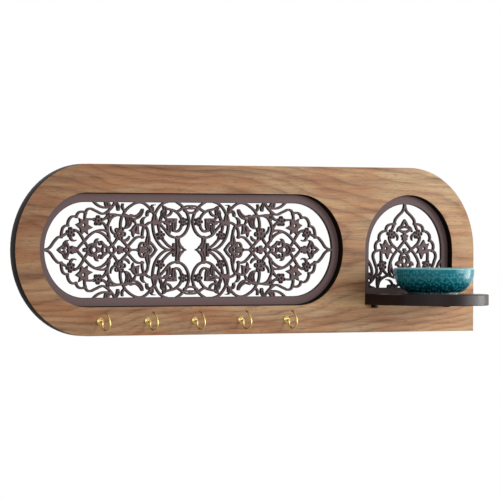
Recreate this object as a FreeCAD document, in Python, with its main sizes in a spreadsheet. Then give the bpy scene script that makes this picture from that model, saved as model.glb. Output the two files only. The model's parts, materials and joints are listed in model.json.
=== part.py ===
import FreeCAD, Part
import math
import os

import Sketcher
from FreeCAD import Placement, Rotation, Vector

# Wall key holder: a veneered board with two windows, a laser-cut arabesque fret in each,
# a row of brass cup hooks, a round-fronted shelf in the arched window and a glazed bowl on it.
#
# Millimetres. The origin is the middle of the board's back face, which lies on the wall.
# +X runs to the right, +Z up, and the front of the board faces -Y.

SIZES = (
    # Board: half-round left end, rounded top right corner, square bottom right corner
    ("board_length", 600),
    ("board_height", 180),
    ("board_thickness", 10),
    ("corner_radius", 90),
    # Windows: the long round-ended one and the arched one
    ("window_margin", 30),
    ("window_gap", 30),
    ("arch_width", 120),
    ("arch_margin", 30),
    # Fret panels, let into a rebate in the back of the board
    ("panel_thickness", 3),
    ("panel_clearance", 0.3),
    ("rebate_width", 6),
    ("fret_border", 10),
    ("arch_rail", 18.5),
    ("line_width", 2.4),
    # Cup hooks
    ("hook_pitch", 60),
    ("hook_height", 15),
    ("hook_shank", 8),
    ("wire_diameter", 2),
    ("neck_bend", 2),
    ("bow_radius", 7.2),
    ("tip_radius", 12),
    ("tip_rise", 11.7),
    ("cup_diameter", 8),
    ("cup_depth", 2.4),
    ("cup_rim", 0.6),
    # Shelf
    ("shelf_thickness", 12),
    ("shelf_reach", 105),
    ("shelf_clearance", 0.2),
    ("shelf_round", 1),
    # Bowl
    ("bowl_radius", 44),
    ("bowl_height", 28.5),
    ("bowl_foot", 29),
    ("bowl_foot_height", 2),
    ("bowl_wall", 3.2),
    ("bowl_forward", 45),
    # Pins under the shelf
    ("pin_diameter", 3.5),
    ("pin_reach", 8),
    ("pin_depth", 7),
    ("pin_inset", 10),
    # Screws through the arched fret's rail into the shelf
    ("shelf_screw_inset", 30),
    ("shelf_screw_length", 22),
    ("shelf_screw_diameter", 3.5),
    ("shelf_screw_head", 7),
    # Keyhole hanger plates and their screws
    ("hanger_spacing", 360),
    ("hanger_drop", 12),
    ("hanger_length", 40),
    ("hanger_height", 16),
    ("hanger_thickness", 1.5),
    ("hanger_clearance", 0.2),
    ("keyhole_entry", 9),
    ("keyhole_slot", 4.4),
    ("keyhole_rise", 5),
    ("keyhole_depth", 4),
    ("plate_screw_spacing", 30),
    ("plate_screw_diameter", 2.5),
    ("plate_screw_length", 8),
    ("plate_screw_head", 5),
    # Room between a screw, pin or shank and its hole, all round
    ("bore_clearance", 0.05),
)

HOOK_COUNT = 5
SIDES = (("left", -1), ("right", 1))

# Fret ornament, drawn for one quarter of the long window. Each point is (reach, lift):
# its distance from the middle of the window towards the tip, and from the long axis.
# The whole drawing, its lines too, is stretched from the opening it is made for to the
# real one. These are the drawing's tip, the highest place of its upper edge, and the
# place on its axis where the arched panel starts, which shows its end with the tip up.
DRAWN_TIP = (185, 0)
DRAWN_TOP = (0, 50)
ARCH_START = (93, 0)

# Lines that outline the end of the ornament: the pointed tip and its scallops
OUTLINE = (
    ((187, 0.3), (179, 1.6), (171, 10), (167, 13.2), (163, 13.6)),
    ((163.2, 13), (163, 18), (160.4, 24), (155, 25.6)),
    ((155.4, 25.2), (154.6, 30), (151.2, 34.2), (144.4, 34.6)),
    ((144.8, 34.2), (142.6, 38.4), (138.4, 40), (133, 38.4)),
    ((133.4, 37.6), (131.4, 42), (127.8, 43.2), (121.5, 41.2), (110, 38), (105.6, 40.4),
     (96, 50.8)),
)

# Stems of the end of the ornament
END_STEMS = (
    # arcs that spring from the border
    ((124.5, 51.8), (112, 44.6), (102, 45.4)),
    ((106.6, 51), (101.6, 45)),
    # the two crossing arches and the diamond between them
    ((144.6, -0.2), (141.4, 3), (134.6, 9.4), (129.4, 14.4), (124, 18), (117, 20.3),
     (110, 20.6), (105.8, 18.8)),
    ((130.6, 3.4), (134.6, 9), (138, 14), (142.6, 19), (147.4, 21)),
    ((118.4, 18.9), (113.4, 17.6), (108.6, 14.8), (104, 10.2), (100, 5.2), (95.4, -0.2)),
    ((106.6, -0.2), (102.2, 3.2), (97.8, 6.6), (94, 11.4)),
    # the great loop beside the big flower
    ((88, 36), (94.4, 36.4), (100.2, 34.2), (103.8, 29.4), (106, 22.4), (104.6, 16),
     (103.6, 12.4), (104.4, 9.6)),
    ((105.4, 36.6), (100, 37.4), (93, 36.6), (84, 35.8), (74, 36)),
    ((89.5, 23.4), (89.4, 29), (87.4, 35.4)),
    ((86.9, 47.8), (87.2, 44.8), (85, 41.6)),
    # stems between the flowers
    ((134.3, 30.6), (134.2, 34.6), (133.6, 38.4)),
    ((134, 32), (127, 32.1), (119.6, 31.6)),
    ((116, 31.6), (110, 32.3), (106.4, 35.4), (104.9, 40.4)),
    ((114.6, 29.6), (110.4, 27.4), (107, 22.4)),
    ((157, 17), (162.6, 14.2)),
    # stems of the flower inside the second diamond
    ((131.4, -0.2), (128, 4.8), (123.4, 6.2), (120.4, 5.4)),
    ((126.8, -0.2), (124.6, 3), (121, 3.4), (118.4, 1)),
    ((113.4, 8.6), (110.8, 5.8), (107, 3.2), (104.6, -0.2)),
    ((112, -0.2), (110.4, 3.4), (107.4, 3)),
    ((155, -0.2), (151.4, 0.2)),
    ((97.4, -0.2), (94, 0.2)),
)

# Leaves of the end of the ornament, each point with the leaf's width there
END_LEAVES = (
    # palmette under the tip
    ((168.4, -0.2, 0.8), (165.2, 1.4, 2.6), (162, 3.4, 2.4), (159.4, 4.8, 3)),
    ((159.8, 1.6, 3), (159.4, 5.6, 3.8), (157.6, 8.6, 2.6), (154, 10.3, 0.6)),
    ((153, -0.2, 2.4), (154.8, 3.4, 2.6), (156.4, 6.8, 2.4), (157.8, 8.4, 2)),
    # curl below the first flower
    ((151.8, 14.6, 3), (151.2, 11.4, 2.6), (148.6, 9.6, 2), (144.8, 10.5, 0.6)),
    # curls of the flower inside the second diamond
    ((120.8, 3.4, 2.4), (121, 7.6, 3), (119.4, 10.6, 2.4), (117, 11.8, 0.8)),
    ((119.6, 8.6, 2), (116.6, 7.8, 2.6), (115.6, 5.2, 1.6)),
    ((114.2, 9.3, 1), (112.8, 7.4, 2.8), (110.8, 4.8, 2.4)),
    # leaf and drop that hang from the border
    ((107.4, 51, 5), (107.3, 48, 4.8), (106.4, 44.8, 3)),
    ((97, 50.6, 3), (94.2, 48.2, 3.4), (92.7, 45.2, 4.2), (92.6, 42.6, 3.4)),
    ((105.6, 40, 2.4), (104.8, 36.4, 4.2), (104, 32, 2.6)),
    # thin leaf beside the big flower
    ((95, 16, 2), (100.6, 19.8, 2), (101.7, 25, 0.8)),
)

# Outlines of the end's pointed flower
END_SHAPES = (
    ((145.8, 26.4), (140.4, 29), (141.8, 33.6), (136.6, 31.2), (130.2, 32.2), (130.4, 26.4),
     (124.2, 23.3), (131, 20.8), (130.4, 16.2), (135, 19.2), (138.8, 15.4), (140, 22)),
)

# Flowers of the end: reach, lift, radius, turn in degrees, and whether its middle has an eye
END_FLOWERS = (
    (148.9, 0, 4.7, 0, False),
    (134.2, 0, 2.5, 36, False),
    (151.6, 18.4, 5.8, 80, True),
    (117.8, 30.6, 5.9, 90, True),
    (116.6, 0, 3.3, 0, False),
    (90.3, 17.3, 7.5, -28, True),
    (90.3, 0, 4.9, 0, False),
)

# Round holes of the end: reach, lift, radius
END_EYES = (
    (136, 26, 1.7),
)

# Stems of the middle of the ornament
MIDDLE_STEMS = (
    # long arches that touch the border
    ((86.4, 36), (83.6, 40.8), (76.8, 46.3), (69, 49.6), (61, 49.4), (54.4, 45.6),
     (49.4, 40.6), (46.2, 36.6)),
    # lattice along the axis
    ((76.4, -0.2), (80.2, 3.2), (84.2, 7), (88.6, 11)),
    ((84.6, -0.2), (80.4, 3.4), (74.4, 9.2), (69.6, 12.9), (61, 13.4)),
    ((61.9, 12.8), (61.8, 18.6), (59, 25.6)),
    ((79, 0), (69, 0)),
    # wavy stem with its leaves
    ((70.4, 26), (66.4, 26.7), (59.6, 25.4), (53.6, 28.4), (47, 29.6),
     (40, 29.4), (33.4, 29.4), (30, 26.6)),
    # pointed flower on the axis
    ((58.4, 25.6), (55.2, 20.6), (54.4, 15), (54.8, 10)),
    ((65.4, 1.6), (65, 5), (61.8, 7.6), (58.6, 6)),
    ((52.6, 8.4), (48.4, 4.8), (44.4, -0.3)),
    ((59.6, 4.8), (55.8, 3.4), (52.8, 3), (50.6, -0.3)),
    ((57.8, 0), (50.6, 0)),
    ((54.6, 0.6), (54.6, 4.6)),
    # the two great bows that meet on the axis
    ((48.7, 30), (48.2, 22), (45.4, 13.2), (40.6, 6.6), (34.4, 1.9), (26, 0)),
    ((41.8, 29), (40.8, 22), (39, 17)),
    ((37, 12), (33.2, 8.4), (28, 4.1), (21, 1.4)),
    # the scroll
    ((46.4, 36.4), (42.6, 43), (36.6, 48.6), (30, 50.8)),
    ((18, 50.4), (10.4, 45.6), (4.4, 38), (2.3, 30), (4.6, 21.8), (10.6, 15.2),
     (18.6, 12.9), (26.4, 15), (33.4, 21.6), (41.6, 29.2)),
    ((35, 44.4), (28.4, 43.1), (20.6, 41.2), (14.6, 37), (11.6, 32)),
    ((18, 40.6), (14.4, 42), (10.2, 45)),
    ((12, 26), (14, 21.6), (18.4, 19.4), (22, 22), (23.6, 27)),
    ((24.4, 42), (26.4, 38), (31.6, 36)),
    # links in the middle of the border
    ((8.2, 41.8), (4, 39.7), (-0.2, 39.2)),
)

# Leaves of the middle of the ornament
MIDDLE_LEAVES = (
    # long leaf that ends the great loop
    ((79, 35.4, 2.6), (70, 34.4, 5), (65.4, 36.8, 4.6), (62.6, 40.4, 3.8), (62, 42, 3.2)),
    # hanging leaf of three lobes
    ((82.6, 36, 4), (80.8, 30.6, 3.8), (81, 26.6, 3.6), (84.2, 22.6, 1.6)),
    ((76.2, 36, 3.6), (77, 29.8, 3.8), (79, 25.8, 3.8), (82.6, 23.2, 2.4)),
    ((72.6, 34.6, 3.2), (72.2, 30.6, 2.8), (70.8, 28.2, 1.8)),
    # leaf on the lattice
    ((86.6, 10.2, 2.4), (82, 10.2, 3), (79.6, 12, 2.6), (78.3, 14.8, 0.6)),
    # crescents along the wavy stem
    ((61, 26, 3), (62.3, 30, 3.8), (60.6, 33.2, 2.4), (57.4, 34.9, 0.5)),
    ((51, 40.6, 3), (54.6, 40.4, 3.4), (56, 36.6, 3)),
    ((49.6, 40.4, 3), (49.4, 44, 3.6), (50, 46, 2), (45, 47.4, 0.5)),
    ((46.4, 39, 2), (46.3, 34.6, 5.2), (46.2, 29.6, 8)),
    # leaf of the pointed flower
    ((54.4, 18, 1.6), (54.5, 12, 4.8), (55, 7.4, 6), (54.8, 4.4, 3)),
    ((66.8, -0.2, 4), (63.6, 1.6, 2.6), (60.2, 1.4, 2.6)),
    # bud and pointed leaf at the middle of the axis
    ((21.8, -0.2, 4), (21.8, 3, 3), (21.8, 6, 2.8)),
    ((16.8, 12.6, 5), (16.7, 8, 4.8), (15.6, 4, 6.6), (14, 0, 10)),
    ((14, 0, 5), (10, 0, 4.4), (5.8, 0, 0.6)),
    # feathered leaves inside the scroll
    ((32.4, 28.6, 4), (27.4, 30.4, 6.4), (19.2, 32.2, 2.4)),
    ((28.6, 17, 3), (27.8, 21, 5.4), (27.4, 25, 6.6), (28, 29, 6)),
    ((22, 20.4, 3), (21.4, 25, 5.4), (20.8, 31, 4.6)),
    # hooked leaves at the top of the scroll
    ((36.2, 46.6, 1), (33.6, 44.2, 4.2), (33, 40, 3.4), (33.6, 36.6, 3.2), (30.6, 32, 2)),
    ((33, 42, 2.6), (36.6, 40.4, 3), (37, 36.4, 3), (38.6, 33, 3.2), (39.4, 29.6, 2.6)),
    # links in the middle of the border
    ((9.4, 44.2, 2.6), (5.4, 45, 4.6), (-0.3, 45.2, 5)),
)

# Outline of the middle's five-lobed leaf
MIDDLE_SHAPES = (
    ((70.6, 27), (73.4, 25), (75.6, 22), (78.6, 20.4), (75.4, 18.8), (75.2, 16), (73.4, 13.2),
     (72.2, 17.2), (69.6, 17.2), (65.8, 16.2), (66.6, 21), (66.8, 27)),
)

# Slits in leaves: corners of each
MIDDLE_SLITS = (
    ((70.8, 24.4), (71.6, 21), (71.2, 18.8), (70, 21), (69.8, 24.4)),
    ((28, 27.4), (24.4, 28.4), (24.2, 25.6), (25.4, 21), (25.2, 25.8)),
)

# Flowers of the middle of the ornament
MIDDLE_FLOWERS = (
    (61.6, 0, 3.8, 0, False),
    (38.7, 15.2, 5.3, 20, True),
    (9.8, 29.8, 5.2, 0, True),
)

# A corner of the ornament is left out where that changes its area by less than this, and
# by less and less down to the second where its sides would cross.
LEAST_CORNER = 2.7
FINEST_CORNER = 0.02
BAND_STEPS = 4
# A hole with less area than this is left solid.
LEAST_HOLE = 1.5
# A band narrower than this at its end comes to a plain tip.
THIN_TIP = 1.3
# Two corners nearer than this are one, and a side this flat is level.
SAME_PLACE = 0.01

# A petal's corners: degrees from its middle, and share of the flower's radius
PETALS = 5
PETAL_CORNERS = ((-36, 0.55), (-17, 1), (17, 1))
EYE_SHARE = 0.2

# Small round holes: reach, lift, radius
MIDDLE_EYES = (
    (80.3, 0, 0.9),
    (67.2, 0, 1.1),
    (54, 0, 1),
    (22.2, 0, 1.1),
    (12.1, 0, 1.7),
)

# The drawings of the two panels: stems, leaves, outlines, slits, flowers and round holes
END_DRAWING = (OUTLINE + END_STEMS, END_LEAVES, END_SHAPES, (), END_FLOWERS, END_EYES)
LONG_DRAWING = (OUTLINE + END_STEMS + MIDDLE_STEMS, END_LEAVES + MIDDLE_LEAVES,
                END_SHAPES + MIDDLE_SHAPES, MIDDLE_SLITS, END_FLOWERS + MIDDLE_FLOWERS,
                END_EYES + MIDDLE_EYES)


# Sheet and sketch helpers

def make_sheet(doc):
    """The driving dimensions, one aliased cell each."""
    sheet = doc.addObject("Spreadsheet::Sheet", "Sizes")
    for row, (alias, value) in enumerate(SIZES, start=1):
        sheet.set("A%d" % row, alias)
        sheet.set("B%d" % row, str(value))
        sheet.setAlias("B%d" % row, alias)
    doc.recompute()
    return sheet


def new_body(doc, label, turn=None):
    """A body, turned about an axis where turn gives (axis, degrees)."""
    body = doc.addObject("PartDesign::Body", label)
    body.Label = label
    if turn:
        body.Placement = Placement(Vector(), Rotation(*turn))
    return body


def place(body, x="0", y="0", z="0"):
    """Binds a body's position to the sheet."""
    body.setExpression(".Placement.Base.x", x)
    body.setExpression(".Placement.Base.y", y)
    body.setExpression(".Placement.Base.z", z)


def new_sketch(body, name, role, raised=None):
    """A sketch on one of the body's own planes, raised along its normal."""
    sketch = body.newObject("Sketcher::SketchObject", name)
    plane = [item for item in body.Origin.OriginFeatures if item.Role == role][0]
    sketch.AttachmentSupport = (plane, [""])
    sketch.MapMode = "FlatFace"
    if raised:
        sketch.setExpression(".AttachmentOffset.Base.z", raised)
    return sketch


def bind(sketch, kind, *where, to):
    """Adds one dimension to a sketch and binds it to the sheet."""
    value = float(sketch.evalExpression(to))
    number = sketch.addConstraint(Sketcher.Constraint(kind, *where, value))
    sketch.setExpression("Constraints[%d]" % number, to)


def outline(sketch, corners):
    """Closed outline. Each corner is (x, y, bend): bend is None where the side to the next
    corner is straight, or the radius of its arc, negative where the arc turns clockwise."""
    sides = add_sides(sketch, corners, corners[1:] + corners[:1])
    for number, (x, y, bend) in enumerate(corners):
        before, after = sides[number - 1], sides[number]
        join(sketch, before, after)
        hold(sketch, after[0], after[1], x, y)


def chain(sketch, corners):
    """Open line through corners given as for a closed outline."""
    sides = add_sides(sketch, corners[:-1], corners[1:])
    for before, after in zip(sides, sides[1:]):
        join(sketch, before, after)
    for side, (x, y, bend) in zip(sides, corners):
        hold(sketch, side[0], side[1], x, y)
    hold(sketch, sides[-1][0], sides[-1][2], *corners[-1][:2])


def add_sides(sketch, starts, ends):
    """Adds one line or arc for each corner; returns each one's number and its ends' numbers."""
    sides = []
    for (x, y, bend), (next_x, next_y, next_bend) in zip(starts, ends):
        here, there = spot_at(sketch, x, y), spot_at(sketch, next_x, next_y)
        if bend is None:
            sides.append((sketch.addGeometry(Part.LineSegment(here, there), False), 1, 2))
        else:
            sides.append(add_arc(sketch, here, there, float(sketch.evalExpression(bend))))
            bind(sketch, "Radius", sides[-1][0], to="abs(%s)" % bend)
    return sides


def spot_at(sketch, x, y):
    """The point that two expressions give."""
    return Vector(float(sketch.evalExpression(x)), float(sketch.evalExpression(y)), 0)


def join(sketch, before, after):
    """Joins the end of one side to the start of the next."""
    sketch.addConstraint(
        Sketcher.Constraint("Coincident", before[0], before[2], after[0], after[1]))


def hold(sketch, number, end, x, y):
    """Holds the end of a side at a place that follows the sheet."""
    bind(sketch, "DistanceX", -1, 1, number, end, to=x)
    bind(sketch, "DistanceY", -1, 1, number, end, to=y)


def add_arc(sketch, here, there, radius):
    """An arc of at most half a turn; returns its number and its ends' numbers."""
    chord = there - here
    left = Vector(-chord.y, chord.x, 0).normalize()
    height = math.sqrt(max(radius ** 2 - (chord.Length / 2) ** 2, 0))
    centre = (here + there) / 2 + left * math.copysign(height, radius)
    start, end = (here, there) if radius > 0 else (there, here)
    angles = [math.atan2(spot.y - centre.y, spot.x - centre.x) for spot in (start, end)]
    circle = Part.Circle(centre, Vector(0, 0, 1), abs(radius))
    number = sketch.addGeometry(Part.ArcOfCircle(circle, *angles), False)
    return (number, 1, 2) if radius > 0 else (number, 2, 1)


def circle(sketch, x, y, radius):
    """A circle whose centre and radius follow the sheet."""
    size = float(sketch.evalExpression(radius))
    number = sketch.addGeometry(Part.Circle(spot_at(sketch, x, y), Vector(0, 0, 1), size), False)
    bind(sketch, "Radius", number, to=radius)
    hold(sketch, number, 3, x, y)


def round_ended(sketch, x, y, half_length, radius):
    """Outline of a long shape with half-round ends, about a centre."""
    straight = "(%s - %s)" % (half_length, radius)
    outline(sketch, (
        ("%s - %s" % (x, straight), "%s - %s" % (y, radius), None),
        ("%s + %s" % (x, straight), "%s - %s" % (y, radius), radius),
        ("%s + %s" % (x, half_length), y, radius),
        ("%s + %s" % (x, straight), "%s + %s" % (y, radius), None),
        ("%s - %s" % (x, straight), "%s + %s" % (y, radius), radius),
        ("%s - %s" % (x, half_length), y, radius),
    ))


def arched(sketch, x, base, spring, half_width):
    """Outline with a flat base, straight sides up to the spring line and a round head."""
    outline(sketch, (
        ("%s - %s" % (x, half_width), base, None),
        ("%s + %s" % (x, half_width), base, None),
        ("%s + %s" % (x, half_width), spring, half_width),
        (x, "%s + %s" % (spring, half_width), half_width),
        ("%s - %s" % (x, half_width), spring, None),
    ))


def pad(body, sketch, length):
    """Pads a sketch along its normal."""
    feature = body.newObject("PartDesign::Pad", sketch.Name + "Pad")
    feature.Profile = sketch
    feature.setExpression("Length", length)
    body.Document.recompute()
    return feature


def pocket(body, sketch, depth, along_normal=True):
    """Cuts a sketch out to a depth, along its normal or against it, and checks that it cut."""
    before = body.Shape.Volume
    feature = body.newObject("PartDesign::Pocket", sketch.Name + "Cut")
    feature.Profile = sketch
    feature.Reversed = along_normal
    feature.setExpression("Length", depth)
    body.Document.recompute()
    if body.Shape.Volume > before - 0.01:
        raise ValueError("%s cuts nothing" % sketch.Name)
    return feature


def revolve(body, sketch):
    """Turns a sketch once round its vertical axis."""
    feature = body.newObject("PartDesign::Revolution", sketch.Name + "Turned")
    feature.Profile = sketch
    feature.ReferenceAxis = (sketch, ["V_Axis"])
    feature.Angle = 360
    body.Document.recompute()
    return feature


# Places that several pieces share

LEFT_EDGE = "-Sizes.board_length / 2"
RIGHT_EDGE = "Sizes.board_length / 2"
BOTTOM_EDGE = "-Sizes.board_height / 2"
FRONT = "-Sizes.board_thickness"
WINDOW_HALF = ("((Sizes.board_length - Sizes.window_margin - Sizes.window_gap"
               " - Sizes.arch_width - Sizes.arch_margin) / 2)")
WINDOW_X = "(-Sizes.board_length / 2 + Sizes.window_margin + %s)" % WINDOW_HALF
WINDOW_RADIUS = "(Sizes.board_height / 2 - Sizes.window_margin)"
ARCH_X = "(Sizes.board_length / 2 - Sizes.arch_margin - Sizes.arch_width / 2)"
ARCH_RADIUS = "Sizes.arch_width / 2"
SILL = "(-Sizes.board_height / 2 + Sizes.window_margin)"
ARCH_SPRING = "(Sizes.board_height / 2 - Sizes.window_margin - Sizes.arch_width / 2)"
HOOK_Z = "(-Sizes.board_height / 2 + Sizes.hook_height)"
PIN_Z = "(%s - Sizes.pin_diameter / 2)" % SILL
SCREW_Z = "(%s + Sizes.shelf_thickness / 2)" % SILL
HANGER_Z = "(Sizes.board_height / 2 - Sizes.hanger_drop)"


def hook_x(number):
    """Where a hook stands: the row is centred on the long window."""
    return "(%s + %g * Sizes.hook_pitch)" % (WINDOW_X, number - (HOOK_COUNT - 1) / 2)


def pin_x(side):
    """Where a pin stands under the shelf."""
    return "(%s + %d * (Sizes.arch_width / 2 - Sizes.pin_inset))" % (ARCH_X, side)


def shelf_screw_x(side):
    """Where a screw goes into the shelf."""
    return "(%s + %d * (Sizes.arch_width / 2 - Sizes.shelf_screw_inset))" % (ARCH_X, side)


def hanger_x(side):
    """Where a hanger plate sits."""
    return "(%d * Sizes.hanger_spacing / 2)" % side


# Board

def make_board(doc):
    """The board with its windows, rebates, hanger recesses and holes."""
    body = new_body(doc, "board")
    sketch = new_sketch(body, "BoardOutline", "XZ_Plane")
    outline(sketch, (
        (LEFT_EDGE + " + Sizes.board_height / 2", BOTTOM_EDGE, None),
        (RIGHT_EDGE, BOTTOM_EDGE, None),
        (RIGHT_EDGE, "Sizes.board_height / 2 - Sizes.corner_radius", "Sizes.corner_radius"),
        (RIGHT_EDGE + " - Sizes.corner_radius", "Sizes.board_height / 2", None),
        (LEFT_EDGE + " + Sizes.board_height / 2", "Sizes.board_height / 2",
         "Sizes.board_height / 2"),
        (LEFT_EDGE, "0", "Sizes.board_height / 2"),
    ))
    pad(body, sketch, "Sizes.board_thickness")
    cut_windows(body)
    cut_hanger_recesses(body)
    drill_board(body)
    return body


def cut_windows(body):
    """The two windows and the rebates behind them."""
    window = new_sketch(body, "Window", "XZ_Plane")
    round_ended(window, WINDOW_X, "0", WINDOW_HALF, WINDOW_RADIUS)
    pocket(body, window, "Sizes.board_thickness")
    arch = new_sketch(body, "Arch", "XZ_Plane")
    arched(arch, ARCH_X, SILL, ARCH_SPRING, ARCH_RADIUS)
    pocket(body, arch, "Sizes.board_thickness")
    window_rebate = new_sketch(body, "WindowRebate", "XZ_Plane")
    round_ended(window_rebate, WINDOW_X, "0", "(%s + Sizes.rebate_width)" % WINDOW_HALF,
                "(%s + Sizes.rebate_width)" % WINDOW_RADIUS)
    pocket(body, window_rebate, "Sizes.panel_thickness")
    arch_rebate = new_sketch(body, "ArchRebate", "XZ_Plane")
    arched(arch_rebate, ARCH_X, "(%s - Sizes.rebate_width)" % SILL, ARCH_SPRING,
           "(%s + Sizes.rebate_width)" % ARCH_RADIUS)
    pocket(body, arch_rebate, "Sizes.panel_thickness")


def cut_hanger_recesses(body):
    """Flush seats for the hanger plates, with room behind each keyhole for a screw head."""
    seats = new_sketch(body, "HangerSeats", "XZ_Plane")
    rooms = new_sketch(body, "KeyholeRooms", "XZ_Plane")
    room_radius = "(Sizes.keyhole_entry / 2 + Sizes.keyhole_rise / 2)"
    for name, side in SIDES:
        round_ended(seats, hanger_x(side), HANGER_Z,
                    "(Sizes.hanger_length / 2 + Sizes.hanger_clearance)",
                    "(Sizes.hanger_height / 2 + Sizes.hanger_clearance)")
        circle(rooms, hanger_x(side), HANGER_Z, room_radius)
    pocket(body, seats, "Sizes.hanger_thickness")
    pocket(body, rooms, "(Sizes.hanger_thickness + Sizes.keyhole_depth)")


def drill_board(body):
    """Holes for the hooks and shelf pins in front, and for the plate screws at the back."""
    hooks = new_sketch(body, "HookHoles", "XZ_Plane", raised="Sizes.board_thickness")
    for number in range(HOOK_COUNT):
        circle(hooks, hook_x(number), HOOK_Z, "(Sizes.wire_diameter / 2 + Sizes.bore_clearance)")
    pocket(body, hooks, "Sizes.hook_shank", along_normal=False)
    pins = new_sketch(body, "PinHoles", "XZ_Plane", raised="Sizes.board_thickness")
    for name, side in SIDES:
        circle(pins, pin_x(side), PIN_Z, "(Sizes.pin_diameter / 2 + Sizes.bore_clearance)")
    pocket(body, pins, "Sizes.pin_depth", along_normal=False)
    screws = new_sketch(body, "PlateScrewHoles", "XZ_Plane")
    for name, side in SIDES:
        for end_name, end in SIDES:
            circle(screws, "%s + %d * Sizes.plate_screw_spacing / 2" % (hanger_x(side), end),
                   HANGER_Z, "(Sizes.plate_screw_diameter / 2 + Sizes.bore_clearance)")
    pocket(body, screws, "Sizes.plate_screw_length")


# Fret panels

def band(points, widths):
    """Corners of a band along a smooth line, with a width at each point and a blunt end."""
    spine = Part.BSplineCurve()
    spine.interpolate(points)
    places = [spine.parameter(point) for point in points]
    left, right = [], []
    for number in range(len(points) - 1):
        steps = BAND_STEPS if number < len(points) - 2 else BAND_STEPS + 1
        for step in range(steps):
            share = step / BAND_STEPS
            station = places[number] + share * (places[number + 1] - places[number])
            half = (widths[number] * (1 - share) + widths[number + 1] * share) / 2
            ahead = Vector(*spine.tangent(station)[0]).normalize()
            aside = Vector(0, 0, 1).cross(ahead) * half
            left.append(spine.value(station) + aside)
            right.append(spine.value(station) - aside)
    return right + cap(right[-1], left[-1]) + left[::-1]


def cap(first, last):
    """Corners that blunt the end of a band between its two sides; a thin tip has none."""
    across = last - first
    if across.Length < THIN_TIP:
        return []
    ahead = across.cross(Vector(0, 0, 1)) * 0.42
    return [first + across * 0.22 + ahead, last - across * 0.22 + ahead]


def polygon(points):
    """A flat face with straight sides."""
    return Part.Face(Part.makePolygon(points + points[:1]))


def facet_ring(centre, radius, sides):
    """Corners at equal steps about a centre."""
    return [centre + around(radius, 360 * number / sides) for number in range(sides)]


def around(radius, degrees):
    """A step of a given length in a given direction."""
    angle = math.radians(degrees)
    return Vector(math.cos(angle), math.sin(angle), 0) * radius


def flower(centre, radius, turn):
    """Corners of a five-petalled flower in short facets."""
    corners = []
    for number in range(PETALS):
        for aside, share in PETAL_CORNERS:
            degrees = turn + 360 * number / PETALS + aside
            corners.append(centre + around(radius * share, degrees))
    return corners


def thin_out(spots, least):
    """A face's corners without the ones that change it least, taken out one at a time."""
    kept = list(spots)
    sizes = [corner_size(kept, number) for number in range(len(kept))]
    while len(kept) > 3 and min(sizes) < least:
        number = sizes.index(min(sizes))
        del kept[number]
        del sizes[number]
        for near in (number - 1, number % len(kept)):
            sizes[near] = corner_size(kept, near)
    return kept


def corner_size(spots, number):
    """The area that a face gains or loses without a corner. One on an axis always stays."""
    here = spots[number]
    if min(abs(here.x), abs(here.y)) < SAME_PLACE:
        return math.inf
    ahead = spots[(number + 1) % len(spots)] - here
    return (here - spots[number - 1]).cross(ahead).Length / 2


def plainer(wire, least=LEAST_CORNER):
    """A face with few corners that fills a wire."""
    spots = [vertex.Point for vertex in wire.OrderedVertexes]
    face = polygon(thin_out(spots, least))
    if face.isValid() or least < FINEST_CORNER:
        return face
    return plainer(wire, least / 2)


def plain_sheet(faces):
    """Flat faces redrawn with the fewest corners, without their smallest holes."""
    sheets = []
    for face in faces:
        inner = [wire for wire in face.Wires if not wire.isSame(face.OuterWire)]
        holes = [plainer(wire) for wire in inner if Part.Face(wire).Area > LEAST_HOLE]
        sheet = plainer(face.OuterWire)
        sheets.append(sheet.cut(Part.Compound(holes)) if holes else sheet)
    return sheets


def joined(pieces):
    """Flat pieces joined into one sheet, redrawn from the edges that only one piece has."""
    fused = pieces[0].multiFuse(pieces[1:])
    uses = {}
    for face in fused.Faces:
        for edge in face.Edges:
            uses.setdefault(edge.hashCode(), []).append(edge)
    rim = [edges[0] for edges in uses.values() if len(edges) == 1]
    wires = [Part.Wire(run) for run in Part.sortEdges(rim)]
    return Part.makeFace(Part.Compound(wires), "Part::FaceMakerBullseye")


def ornament(drawing, place_point, width, room):
    """One side of the ornament as flat faces, kept to the room it has."""
    solid, holes = drawn_pieces(drawing, width)
    faces = [polygon([place_point(spot) for spot in corners]) for corners in solid]
    cuts = [polygon([place_point(spot) for spot in corners]) for corners in holes]
    kept = joined(faces).common(room)
    return Part.Compound(plain_sheet(kept.Faces)).cut(Part.Compound(cuts))


def drawn_pieces(drawing, width):
    """The corners of each solid piece and of each hole, in the drawing's own measure."""
    stems, leaves, shapes, slits, flowers, eyes = drawing
    solid = [[Vector(*spot) for spot in corners] for corners in shapes]
    for points in stems:
        solid.append(band([Vector(*point) for point in points], [width] * len(points)))
    for points in leaves:
        spots = [Vector(reach, lift) for reach, lift, broad in points]
        solid.append(band(spots, [broad for reach, lift, broad in points]))
    holes = [[Vector(*spot) for spot in corners] for corners in slits]
    for reach, lift, radius, turn, pierced in flowers:
        solid.append(flower(Vector(reach, lift), radius, turn))
        if pierced:
            holes.append(facet_ring(Vector(reach, lift), radius * EYE_SHARE, 6))
    holes += [facet_ring(Vector(reach, lift), radius, 8) for reach, lift, radius in eyes]
    return solid, holes


def flat_round_ended(half_length, radius):
    """Flat face with half-round ends about the origin."""
    straight = half_length - radius
    corners = (Vector(-straight, -radius), Vector(straight, -radius),
               Vector(straight, radius), Vector(-straight, radius))
    sides = (Part.LineSegment(corners[0], corners[1]),
             Part.Arc(corners[1], Vector(half_length, 0), corners[2]),
             Part.LineSegment(corners[2], corners[3]),
             Part.Arc(corners[3], Vector(-half_length, 0), corners[0]))
    return Part.Face(Part.Wire([side.toShape() for side in sides]))


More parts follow.
